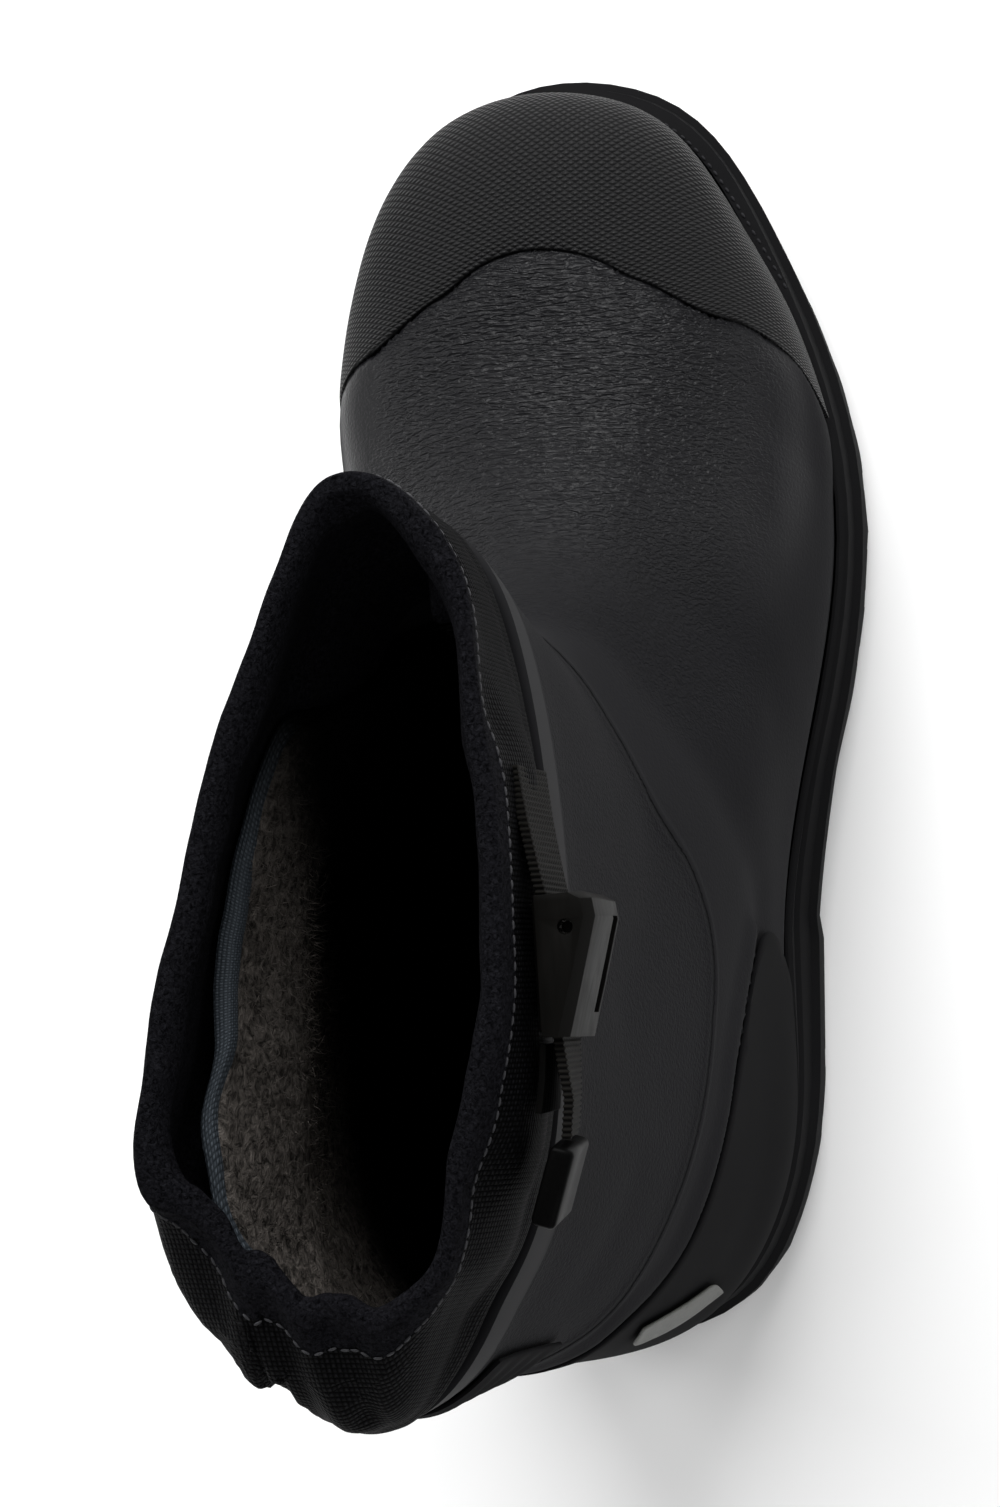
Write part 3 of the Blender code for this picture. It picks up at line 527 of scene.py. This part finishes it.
def coated_steel():
    """Pressed sheet steel under black enamel: a dull gloss with faint rubbed streaks."""
    made, tree, shader = new_material("black enamelled steel", Specular_IOR_Level=0.04)
    place = add(tree, "TexCoord", out="Object")
    streaks = add(tree, "Mapping", {"Vector": place, "Scale": (1, 0.15, 1)})
    rub = add(tree, "TexNoise", {"Vector": streaks, "Scale": per_mm(1.5), "Detail": 4.0})
    colour = add(tree, "Mix", {0: rub, 6: linear("#050504"), 7: linear("#0b0a09")}, 2, data_type="RGBA")
    feed(tree, shader, Base_Color=colour,
         Roughness=add(tree, "MapRange", {"Value": rub, "To Min": 0.38, "To Max": 0.6}),
         Normal=add(tree, "Bump", {"Height": rub, "Strength": 0.15, "Distance": 0.03 * MM}))
    return made


def ribbed_webbing():
    """Woven polypropylene webbing: dull olive black, its ribs are in the mesh and its threads in the bump,
    with painted highlight on their tops and painted shade in the troughs.
    """
    made, tree, shader = new_material("ribbed webbing", Roughness=0.75, Specular_IOR_Level=0.05)
    place = add(tree, "TexCoord", out="Object")
    threads = add(tree, "TexWave", {"Vector": place, "Scale": per_mm(0.9) / math.tau, "Distortion": 1.0},
                  "Fac", bands_direction="Z")
    rib = add(tree, "Attribute", out="Fac", attribute_name="rib")
    # painted highlight and shade: the colour follows rib and thread height, lighter on their tops and darker
    # in the troughs
    share = add(tree, "Math", {0: threads, 1: 0.4, 2: rib}, operation="MULTIPLY_ADD")
    colour = add(tree, "Mix", {0: share, 6: linear("#020202"), 7: linear("#131210")}, 2, data_type="RGBA")
    feed(tree, shader, Base_Color=colour,
         Normal=add(tree, "Bump", {"Height": threads, "Strength": 0.5, "Distance": 0.12 * MM}))
    return made


def reflective_film():
    """Pale grey retroreflective film: fine beads under a smooth clear face."""
    made, tree, shader = new_material("reflective film", Roughness=0.45, Specular_IOR_Level=0.2,
                                      Coat_Weight=0.05, Coat_Roughness=0.2)
    place = add(tree, "TexCoord", out="Object")
    beads = add(tree, "TexVoronoi", {"Vector": place, "Scale": per_mm(0.8)}, "Distance")
    colour = add(tree, "Mix", {0: beads, 6: linear("#40413c"), 7: linear("#292a26")}, 2, data_type="RGBA")
    feed(tree, shader, Base_Color=colour,
         Normal=add(tree, "Bump", {"Height": beads, "Strength": 0.2, "Distance": 0.05 * MM}))
    return made


def black_nylon():
    """Moulded nylon clip: black with a low gloss."""
    made, tree, shader = new_material("moulded black nylon", IOR=1.5, Specular_IOR_Level=0.02, Roughness=0.35)
    place = add(tree, "TexCoord", out="Object")
    grain = add(tree, "TexNoise", {"Vector": place, "Scale": per_mm(0.8), "Detail": 2.0})
    colour = add(tree, "Mix", {0: grain, 6: linear("#030303"), 7: linear("#060606")}, 2, data_type="RGBA")
    feed(tree, shader, Base_Color=colour,
         Normal=add(tree, "Bump", {"Height": grain, "Strength": 0.2, "Distance": 0.05 * MM}))
    return made


def sewing_thread(name, dark, light):
    """Bonded polyester thread: twisted, with a dull shine."""
    made, tree, shader = new_material(name, Roughness=0.55, Specular_IOR_Level=0.2)
    place = add(tree, "TexCoord", out="Object")
    twist = add(tree, "TexNoise", {"Vector": place, "Scale": per_mm(0.5), "Detail": 1.0})
    feed(tree, shader,
         Base_Color=add(tree, "Mix", {0: twist, 6: linear(dark), 7: linear(light)}, 2, data_type="RGBA"),
         Normal=add(tree, "Bump", {"Height": twist, "Strength": 0.4, "Distance": 0.1 * MM}))
    return made


MATERIALS = {
    "shell": shell_rubber(),
    "knurl": knurled_rubber(),
    "cover": plain_rubber("smooth cover rubber", "#0c0c0d", "#111112", 0.92, 0.7),
    # painted highlight: the rim's dashes get a lighter rubber than the sole to stand in for their glints
    "rim": plain_rubber("rim rubber with painted highlight", "#1d1d1f", "#2b2b2d", 0.6, 0.7),
    "sole": plain_rubber("matt sole rubber", "#0d0d0e", "#131314", 0.75, 0.6),
    "cuff": weave("black oxford weave", WEAVE, "#010101", "#19191b", 0.6, 0.015),
    "fleece": pile("blue black fleece", "#010102", "#1e1e22", 0.7, 1.0),
    "pile": pile("grey brown pile", "#282624", "#726c67", 2.0, 1.4),
    "binding": weave("grey blue binding tape", 0.9, "#2a2f34", "#555c63", 0.25, 0.1),
    "felt": pile("dark felt footbed", "#131315", "#232325", 1.0, 0.4),
    "webbing": ribbed_webbing(),
    "steel": coated_steel(),
    "nylon": black_nylon(),
    "film": reflective_film(),
    "thread": sewing_thread("dark grey sewing thread", "#17171a", "#38383b"),
}


def dress(piece, node, slot, *materials):
    """Gives a piece its materials and its place on the boot, and hides the CAD node that it stands for."""
    for name in materials:
        piece.data.materials.append(MATERIALS[name])
    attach(piece, "root")
    if node:
        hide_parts(node)
    return piece


def box_uv(piece):
    """UV map in metres from three flat views along the axes, by each face's normal."""
    edit(piece, "SELECT")
    bpy.ops.uv.cube_project(cube_size=1.0, scale_to_bounds=False)
    done()


def put_uv(piece, across, along):
    """UV map from two measures in millimetres on each point."""
    layer = piece.data.uv_layers.get("UVMap") or piece.data.uv_layers.new(name="UVMap")
    corners = np.empty(len(piece.data.loops), int)
    piece.data.loops.foreach_get("vertex_index", corners)
    layer.data.foreach_set("uv", (np.stack([across, along], axis=1)[corners] * MM).ravel())


# Shell, covers and sole

PANEL_CURVE = smooth_line(PANEL_PROFILE, 12).T


def panel_height(along):
    """Height of the panel's edge at a place along the foot."""
    return np.interp(along, *PANEL_CURVE)


def panel_line():
    """The panel's edge round the shell: the places where its outer face is as high as the edge is there."""
    shell = tree_of(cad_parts["upper"].data)
    line = []
    for bearing in np.linspace(-math.pi, math.pi, PANEL_RAYS, endpoint=False):
        way = inwards(bearing)
        height = PANEL_MIDDLE
        for _ in range(PANEL_TRIES):
            place = shell.ray_cast(Vector((*SHAFT_AXIS, height)) * MM - way * FAR, way)[0] / MM
            height = panel_height(place.y)
        line.append(place)
    line = np.array(line)
    return line[spaced(line, 0, 0, PANEL_PITCH)]


def guard_edge(node, looks, order):
    """Middle of a guard's narrow rim on the side that looks this way, as a line in the order of a bearing."""
    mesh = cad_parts[node].data
    rim = [face for face in mesh.polygons
           if face.normal.dot(looks) > RIM_LOOK and RIM_AREA[0] < face.area / MM**2 < RIM_AREA[1]]
    corners = {tuple(round(c / MM, 2) for c in mesh.vertices[i].co) for face in rim for i in face.vertices}
    in_order = sorted(corners, key=lambda corner: order(*corner))
    return smooth_line(np.reshape(in_order, (-1, 2, 3)).mean(axis=1), 8)


def tucked(points):
    """Draws the shaft's back in on the outer side, where it is flatter than the section that carries it."""
    x, y, z = points.T
    move = TUCK * hump(x, *TUCK_ACROSS) * smooth_step(z, *TUCK_HEIGHTS) * smooth_step(-y, *TUCK_BEHIND)
    return points + np.stack([-TUCK_SIDEWAYS * move, move, 0 * move], axis=1)


def toe_drawn_in(points):
    """Draws the toe in above the sole, so that the sole's rim stands out round it."""
    _, y, z = points.T
    away = outward(points) * (1, 1, 0)
    away /= np.linalg.norm(away, axis=1)[:, None]
    move = TOE_IN * smooth_step(y, *TOE_IN_ALONG) * (1 - smooth_step(z, *TOE_IN_HEIGHTS))
    return points - away * move[:, None]


def relax_vamp(shell, panel, cap):
    """Smooths the vamp between its edges."""
    points = points_of(shell)
    _, y, z = points.T
    clear = np.minimum(nearest(points, panel)[0], nearest(points, cap)[0])
    vamp = smooth_step(clear, *VAMP_CLEAR) * (z < panel_height(y))
    vamp *= smooth_step(y, *VAMP_ALONG) * smooth_step(z, *VAMP_HEIGHTS)
    group = shell.vertex_groups.new(name="vamp")
    for i in np.flatnonzero(vamp):
        group.add([int(i)], float(vamp[i]), "REPLACE")
    apply(shell, "SMOOTH", factor=0.5, iterations=40, vertex_group="vamp")


def store_shell_grain(shell, points, normals, outer, side):
    """Where the shell is speckled, wrinkled and rubbed smooth."""
    x, y, z = points.T
    level = normals[:, 2]
    on_panel = smooth_step(side, *SPECKLE_FADE) * (1 - smooth_step(z, *RIM_BAND))
    speckled = np.where(z > SPECKLE_TOP, 0, SPECKLE_LOW + (1 - SPECKLE_LOW) * on_panel)
    top = smooth_step(level, *WRINKLE_LEVEL) * smooth_step(x, *WRINKLE_INNER)
    top *= 1 - smooth_step(x, *WRINKLE_OUTER)
    polished = smooth_step(level, *POLISH_LEVEL) * (side < 0) * smooth_step(y, *POLISH_ALONG)
    store(shell, "seam", np.where(outer, side, 9.0))
    store(shell, "speckled", np.where(outer, speckled, 0))
    store(shell, "wrinkled", np.where(outer, top * (side < 0) * smooth_step(y, *WRINKLE_ALONG), 0))
    store(shell, "dull", DULL - POLISH * polished - BAND_POLISH * smooth_step(z, *RIM_BAND))


def make_shell():
    """Shell: the vamp's edge stands over a groove at the shaft panel, and it rises to the guards."""
    shell = copy_of("upper", "shell")
    refine(shell, 2)
    panel = panel_line()
    cap = guard_edge("toe_cap", (0, -1, 0), lambda x, y, z: math.atan2(x - TOE_MIDDLE[0], z))
    counter = guard_edge("heel_counter", (0, 0, 1),
                         lambda x, y, z: math.atan2(x - SHAFT_AXIS[0], SHAFT_AXIS[1] - y))
    relax_vamp(shell, panel, cap)
    refine_near(shell, (panel, cap, counter), reach=4.5, cuts=2)
    points, normals = points_of(shell), normals_of(shell)
    outer = dot(normals, outward(points)) > 0
    away, _ = nearest(points, panel)
    side = np.where(points[:, 2] > panel_height(points[:, 1]), away, -away)
    move = sum(height * hump(side, place, half) for place, half, height in SEAM_LIPS)
    for edge, (rise, reach), axis, sign in ((cap, CAP_RISE, 1, -1), (counter, COUNTER_RISE, 2, 1)):
        away, index = nearest(points, edge)
        beyond = sign * (points[:, axis] - edge[index, axis]) > 0
        climb = rise * (1 - smooth_step(away, RISE_FULL, reach)) * smooth_step(away, *RISE_EDGE)
        move += np.where(beyond, climb, 0)
    for place, half, depth in CREASES:
        away, _ = nearest(points, smooth_line(place, 8))
        move -= depth * hump(away, 0, half)
    put_points(shell, toe_drawn_in(tucked(points + normals * np.where(outer, move, 0)[:, None])))
    store_shell_grain(shell, points, normals, outer, side)
    smooth(shell, 60)
    return dress(shell, "upper", "shell_rubber", "shell")


def make_toe_cap():
    """Toe guard, with a UV map that wraps round the toe so that the knurl keeps its size."""
    cap = copy_of("toe_cap", "toe_guard")
    refine(cap, 2)
    points = points_of(cap)
    x, y, z = points.T
    radius, middle, low = KNURL_ACROSS
    across = radius * np.arctan2(x - middle, z - low)
    radius, middle, low = KNURL_ALONG
    along = radius * np.arctan2(y - middle, z - low) - KNURL_BEND * np.clip(x - KNURL_BEND_FROM, 0, None) ** 2
    put_uv(cap, across, along)
    put_points(cap, toe_drawn_in(points))
    smooth(cap, 60)
    return dress(cap, "toe_cap", "cover_rubber", "knurl")


def make_covers():
    """Heel guard and its ribs, drawn in with the shaft, and the patch on it."""
    for node, name in (("heel_counter", "heel_guard"), ("heel_ribs", "heel_grip_ribs")):
        cover = copy_of(node, name)
        refine(cover, 2)
        put_points(cover, tucked(points_of(cover)))
        smooth(cover, 60)
        dress(cover, node, "cover_rubber", "cover")
    patch = copy_of("heel_reflector", "heel_patch")
    refine(patch, 2)
    smooth(patch, 60)
    dress(patch, "heel_reflector", "reflective_film", "film")


def make_sole():
    """Sole: its curves are rounded by subdivision, and its lugs keep their corners."""
    sole = copy_of("outsole", "tread_sole")
    refine(sole, 1, crease_over=28, crease=1.0)
    smooth(sole, 35)
    dress(sole, "outsole", "sole_rubber", "sole")


def make_footbed():
    bed = copy_of("insole", "footbed")
    refine(bed, 1)
    smooth(bed, 60)
    dress(bed, "insole", "footbed_cloth", "felt")


# Cuff and stitches

def top_height(piece, bearing):
    """Height of a piece's top at a bearing round the shaft."""
    points = points_of(piece)
    at = bearings_of(points)
    round_it = np.linspace(-math.pi, math.pi, 121)
    tops = [points[np.abs((at - b + math.pi) % math.tau - math.pi) < 0.06, 2].max() for b in round_it]
    return np.interp(bearing, round_it, tops)


def cuff_moves(points, normals, shell_top, brim_top):
    """How each point of the cuff moves: swellings, the brim's set, folds and a little unevenness."""
    radial = from_shaft(points)
    inner = smooth_step(dot(normals, radial), *INNER_FACE)
    below_brim = brim_top - points[:, 2]
    over_rim = points[:, 2] - shell_top
    free = smooth_step(over_rim, *FREE_ABOVE_RIM)
    move = -BRIM_ROLL * inner * hump(below_brim, *BRIM_ROLL_AT)
    move += RIM_BULGE * (1 - inner) * hump(over_rim, *RIM_BULGE_AT)
    degrees, stands_out = np.array(BRIM_SET).T
    at = np.degrees(bearings_of(points))
    soft_set = [np.interp(at + turn, degrees, stands_out, period=360) for turn in BRIM_SOFT]
    move += free * np.mean(soft_set, axis=0) * hump(below_brim, 0, BRIM_DEEP)
    for place, half, depth in CUFF_FOLDS:
        line = smooth_line(place, 8)
        _, index = nearest(points, line)
        apart = points - line[index]
        apart -= dot(apart, radial)[:, None] * radial
        move -= free * depth * hump(np.linalg.norm(apart, axis=1), 0, half)
    nap = np.array([noise.noise(Vector(p / NAP_SIZE)) for p in points])
    return radial * (move + NAP * free * nap)[:, None]


def make_cuff(shell):
    """Cuff: weave outside, a fleece facing inside that is folded over the brim, and a gathered back."""
    cuff = copy_of("cuff", "padded_cuff")
    refine(cuff, 2, crease_over=70, crease=0.3)
    points = points_of(cuff)
    bearing = bearings_of(points)
    moves = cuff_moves(points, normals_of(cuff), top_height(shell, bearing), top_height(cuff, bearing))
    put_points(cuff, tucked(points + moves))
    box_uv(cuff)
    dress(cuff, "cuff", "cuff_cloth", "cuff", "fleece")
    centres, normals = face_values(cuff, "center") / MM, face_values(cuff, "normal")
    folded = top_height(cuff, bearings_of(centres)) - centres[:, 2] < FACING
    fleece = (dot(normals, from_shaft(centres)) < 0) | folded
    cuff.data.polygons.foreach_set("material_index", fleece.astype(np.int32))
    smooth(cuff, 70)
    return cuff


def stitch_row(name, line, ups, chosen, size, lift=0.0):
    """A row of stitches as one mesh: a small spindle laid along a line at the chosen of its points."""
    bpy.ops.object.select_all(action="DESELECT")
    bpy.ops.mesh.primitive_uv_sphere_add(segments=6, ring_count=5, radius=1.0)
    one = bpy.context.object
    ball = np.array([v.co for v in one.data.vertices])
    ball_faces = [tuple(f.vertices) for f in one.data.polygons]
    bpy.data.objects.remove(one)
    length, radius = size
    points, faces = [], []
    for i in chosen:
        along = line[i + 1] - line[i - 1]
        along = along / np.linalg.norm(along)
        side = np.cross(ups[i], along)
        side /= np.linalg.norm(side)
        base = len(points)
        points += list(line[i] + ups[i] * lift + ball[:, 2:] * along * length / 2
                       + ball[:, :1] * side * radius + ball[:, 1:2] * np.cross(along, side) * radius)
        faces += [tuple(base + corner for corner in face) for face in ball_faces]
    return built(name, points, faces)


def make_rim_dashes(cap):
    """Short moulded dashes that stand on the sole's rim in the groove round the toe guard, in a lighter
    rubber as painted highlight.
    """
    sole = tree_of(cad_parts["outsole"].data)
    start = Vector((*TOE_MIDDLE, RIM_DASH_HEIGHT)) * MM
    places = []
    for bearing in np.radians(np.arange(*RIM_DASH_BEARINGS, RIM_DASH_STEP)):
        way = inwards(bearing)
        hit, place, _, _ = cap.ray_cast(start - way * FAR, way)
        if hit:
            above = place + (Vector((0, 0, RIM_ABOVE)) - way * RIM_DASH_OUT) * MM
            on_rim = sole.ray_cast(above, Vector((0, 0, -1)))[0]
            if on_rim is not None and on_rim.z > RIM_LOWEST * MM:
                places.append(np.array(on_rim) / MM)
    places = np.array(places)
    ups = np.tile((0.0, 0.0, 1.0), (len(places), 1))
    row = stitch_row("rim_dashes", places, ups, spaced(places, 1, 1, RIM_DASH), RIM_DASH_SIZE)
    dress(row, None, "sole_rubber", "rim")


def make_brim_stitches(cuff):
    """Stitches that close the cuff's brim, a little below it on the outside."""
    places, normals = [], []
    bearings = np.linspace(-math.pi, math.pi, STITCH_RAYS, endpoint=False)
    for bearing, top in zip(bearings, top_height(cuff, bearings)):
        way = inwards(bearing)
        hit, place, normal, _ = cuff.ray_cast(Vector((*SHAFT_AXIS, top - FACING)) * MM - way * FAR, way)
        if hit:
            places.append(np.array(place) / MM)
            normals.append(np.array(normal))
    places, normals = np.array(places), np.array(normals)
    chosen = spaced(places, 0.5, 0, BRIM_STITCH)
    row = stitch_row("brim_stitches", places, normals, chosen, STITCH_SIZE, STITCH_LIFT)
    dress(row, None, "cuff_cloth", "thread")


# Liner and pile

def open_tube(name, rows):
    """A plain open tube, one millimetre of height to a row, to be shaped from there."""
    bpy.ops.object.select_all(action="DESELECT")
    bpy.ops.mesh.primitive_cylinder_add(vertices=TUBE_SIDES, radius=TUBE_RADIUS * MM, depth=rows * MM,
                                        end_fill_type="NOTHING", location=(0, 0, rows * MM / 2))
    tube = bpy.context.object
    tube.name = tube.data.name = name
    bpy.ops.object.transform_apply(location=True)
    height = points_of(tube)[:, 2]
    select_only(tube, "edges", [height[a] != height[b] for a, b in tube.data.edge_keys])
    bpy.ops.mesh.subdivide(number_cuts=rows - 1)
    done()
    return tube


def shape_tube(tube, place):
    """Moves each point of an open tube to where place(bearing, row) says, as a radius and a height."""
    points = points_of(tube)
    bearing = np.arctan2(points[:, 0], points[:, 1])
    row = np.rint(points[:, 2]).astype(int)
    radius, height = np.array([place(b, r) for b, r in zip(bearing, row)]).T
    x, y = SHAFT_AXIS[0] + radius * np.sin(bearing), SHAFT_AXIS[1] + radius * np.cos(bearing)
    put_points(tube, np.stack([x, y, height], axis=1))
    return bearing, row


def wall_finder(cuff):
    """A function that gives how far the inner wall of shell and cuff is from the shaft's axis."""
    trees = [tree_of(mesh) for mesh in (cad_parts["upper"].data, cuff.data)]

    def wall(bearing, height):
        start = Vector((*SHAFT_AXIS, height)) * MM
        hits = [tree.ray_cast(start, -inwards(bearing))[3] for tree in trees]
        return min([hit / MM for hit in hits if hit is not None] + [WALL_FAR])
    return wall


def liner_finder(cuff):
    """A function that gives the radius and height of the liner's outer face at a bearing and row."""
    wall = wall_finder(cuff)

    @functools.lru_cache(maxsize=None)
    def top(bearing):
        forward = SHAFT_AXIS[1] + wall(bearing, LINER_FELT) * math.cos(bearing)
        slope = LINER_SLOPE * max(forward - LINER_LEVEL, 0)
        slack = smooth_step(bearing, *SLACK_START) * (1 - smooth_step(bearing, *SLACK_END))
        return float(top_height(cuff, bearing) - LINER_DROP - slope - LINER_SLACK * slack)

    def place(bearing, row):
        height = LINER_FOOT + (top(round(bearing, 4)) - LINER_FOOT) * row / LINER_ROWS
        pocket = LINER_POCKET * hump(bearing, *POCKET_AT) * smooth_step(height, *POCKET_HEIGHTS)
        return wall(bearing, height) - LINER_GAP - pocket, height
    return place


def store_painted_shade(piece):
    """Painted shade: pile and tape darker deep in the boot, and higher up towards the front, where shade
    falls.
    """
    _, y, z = points_of(piece).T
    shade_height = SHADE_LOW + SHADE_CLIMB * smooth_step(y, *SHADE_ALONG)
    # stores how much painted shade each point gets
    store(piece, "painted_shade", smooth_step(shade_height - z, 0, SHADE_BLEND))


def make_liner(place):
    """Loose pile liner: a lumpy wall inside shell and cuff."""
    liner = open_tube("pile_liner", LINER_ROWS)
    shape_tube(liner, place)
    apply(liner, "SMOOTH", factor=0.5, iterations=4)
    apply(liner, "SOLIDIFY", thickness=LINER_WALL * MM, offset=-1.0)
    refine(liner, 1, crease_over=80, crease=0.2)
    points, normals = points_of(liner), normals_of(liner)
    lump = [sum(share * noise.noise(Vector(p / size)) for size, share in LINER_LUMPS) for p in points]
    put_points(liner, points + normals * (LINER_LUMP * np.array(lump))[:, None])
    smooth(liner, 80)
    store_painted_shade(liner)
    dress(liner, None, "footbed_cloth", "pile")
    return liner


def make_binding(place):
    """Tape folded over the liner's top edge."""
    tape = open_tube("liner_binding", len(TAPE_SECTION) - 1)

    def tape_place(bearing, row):
        radius, height = place(bearing, LINER_ROWS)
        inset, rise = TAPE_SECTION[row]
        return radius - inset, height + rise

    bearing, row = shape_tube(tape, tape_place)
    put_uv(tape, bearing * TAPE_RADIUS, run_along(TAPE_SECTION)[row])
    apply(tape, "SOLIDIFY", thickness=TAPE_THICK * MM, offset=-1.0)
    apply(tape, "SUBSURF", levels=2, render_levels=2)
    smooth(tape, 80)
    store_painted_shade(tape)
    dress(tape, None, "cuff_cloth", "binding")


def make_pile_hairs(liner):
    """Short hairs of the pile, as thin closed spikes that lean at random."""
    draw = np.random.default_rng(11)
    centres, normals = face_values(liner, "center") / MM, face_values(liner, "normal")
    inner = dot(normals, outward(centres)) < HAIR_LOOK
    lowest, highest = HAIR_HEIGHTS
    chosen = np.flatnonzero(inner & (centres[:, 2] > lowest) & (centres[:, 2] < highest))
    points, faces = [], []
    for i in draw.choice(chosen, HAIR_COUNT):
        root = centres[i] + draw.normal(0, HAIR_SPREAD, 3)
        lean = normals[i] + draw.normal(0, HAIR_LEAN, 3)
        lean /= np.linalg.norm(lean)
        bend = draw.normal(0, HAIR_BEND, 3)
        length = draw.uniform(*HAIR_LENGTH)
        side = np.cross(lean, (0.3, 0.2, 0.9))
        side /= np.linalg.norm(side)
        other = np.cross(lean, side)
        base = len(points)
        for share, width in HAIR_RINGS:
            middle = root + lean * length * share + bend * max(share, 0) ** 2
            points += [middle + (side * math.cos(t) + other * math.sin(t)) * width for t in HAIR_CORNERS]
        points.append(root + lean * length + bend)
        faces.append((base + 2, base + 1, base))
        for k, after in ((0, 1), (1, 2), (2, 0)):
            faces.append((base + k, base + after, base + 3 + after, base + 3 + k))
            faces.append((base + 3 + k, base + 3 + after, base + 6))
    hairs = built("pile_hairs", points, faces)
    store_painted_shade(hairs)
    dress(hairs, None, "footbed_cloth", "pile")


# Strap and buckle

def make_strap():
    """Webbing with a rib every millimetre or so across it."""
    strap = copy_of("strap", "ribbed_strap")
    edit(strap, "SELECT")
    bpy.ops.mesh.subdivide(number_cuts=6)
    done()
    apply(strap, "SUBSURF", levels=2, render_levels=2, subdivision_type="SIMPLE")
    points, normals = points_of(strap), normals_of(strap)
    rib = np.sin(math.tau * points[:, 1] / RIB_PITCH)
    put_points(strap, points + normals * (RIB_HEIGHT * rib)[:, None])
    # the rib height is also read by the webbing's colour as painted highlight and shade
    store(strap, "rib", 0.5 + 0.5 * rib)
    smooth(strap, 80)
    dress(strap, "strap", "webbing", "webbing")


def make_buckle():
    """Plates, pivot, clip and the short webbing, with their corners broken."""
    for node, name, finish, slot in (
        ("buckle_base", "buckle_back_plate", "steel", "dark_metal"),
        ("buckle_lever", "buckle_cam_lever", "steel", "dark_metal"),
        ("buckle_pin", "buckle_pivot", "steel", "dark_metal"),
        ("strap_tip", "strap_end_clip", "nylon", "black_plastic"),
        ("buckle_anchor", "buckle_webbing", "webbing", "webbing"),
    ):
        piece = copy_of(node, name)
        if node == "buckle_pin":
            edit(piece, "SELECT")
            bpy.ops.transform.resize(value=(1, 1, PIVOT_SHORT))
            done()
        apply(piece, "BEVEL", width=BUCKLE_BEVEL * MM, segments=2, limit_method="ANGLE",
              angle_limit=math.radians(40))
        smooth(piece, 35)
        dress(piece, node, slot, finish)


rubber_shell = make_shell()
make_rim_dashes(make_toe_cap())
make_covers()
make_sole()
make_footbed()
soft_cuff = make_cuff(rubber_shell)
make_brim_stitches(soft_cuff)
liner_place = liner_finder(soft_cuff)
loose_liner = make_liner(liner_place)
make_binding(liner_place)
make_pile_hairs(loose_liner)
make_strap()
make_buckle()


# Floor, light and camera

def make_stage():
    """A pale, almost even floor."""
    bpy.ops.object.select_all(action="DESELECT")
    bpy.ops.mesh.primitive_plane_add(size=8)
    floor = bpy.context.object
    floor.name = "studio_floor"
    made, tree, shader = new_material("pale studio floor", Roughness=0.9)
    place = add(tree, "TexCoord", out="Object")
    haze = add(tree, "TexNoise", {"Vector": place, "Scale": 3.0})
    colour = add(tree, "Mix", {0: haze, 6: linear("#f3f3f3"), 7: linear("#f5f5f5")}, 2, data_type="RGBA")
    feed(tree, shader, Base_Color=colour)
    floor.data.materials.append(made)


def turned_to(place, target):
    """Rotation of a light or camera at a place that looks at a target."""
    return (Vector(target) - Vector(place)).to_track_quat("-Z", "Y")


def make_light():
    """An even white world, and the soft boxes."""
    world = bpy.context.scene.world or bpy.data.worlds.new("studio")
    bpy.context.scene.world = world
    world.use_nodes = True
    background = world.node_tree.nodes["Background"]
    background.inputs["Color"].default_value = (1, 1, 1, 1)
    background.inputs["Strength"].default_value = WORLD_STRENGTH
    for name, place, target, size, power in LIGHTS:
        bpy.ops.object.light_add(type="AREA", location=place)
        light = bpy.context.object
        light.name = name
        light.data.shape = "RECTANGLE"
        light.data.size, light.data.size_y = size
        light.data.energy = power
        light.rotation_euler = turned_to(place, target).to_euler()


def make_camera():
    """Almost overhead, a little to the outer side, as the photograph was taken."""
    bpy.ops.object.camera_add()
    camera = bpy.context.object
    camera.name = "studio_camera"
    turn = turned_to(CAMERA_PLACE, CAMERA_AIM).to_matrix().to_4x4()
    roll = Matrix.Rotation(math.radians(CAMERA_ROLL), 4, "Z")
    camera.matrix_world = Matrix.Translation(CAMERA_PLACE) @ turn @ roll
    camera.data.sensor_width = CAMERA_SENSOR
    camera.data.lens = CAMERA_LENS
    bpy.context.scene.camera = camera


make_stage()
make_light()
make_camera()
bpy.context.scene.view_settings.view_transform = "Standard"
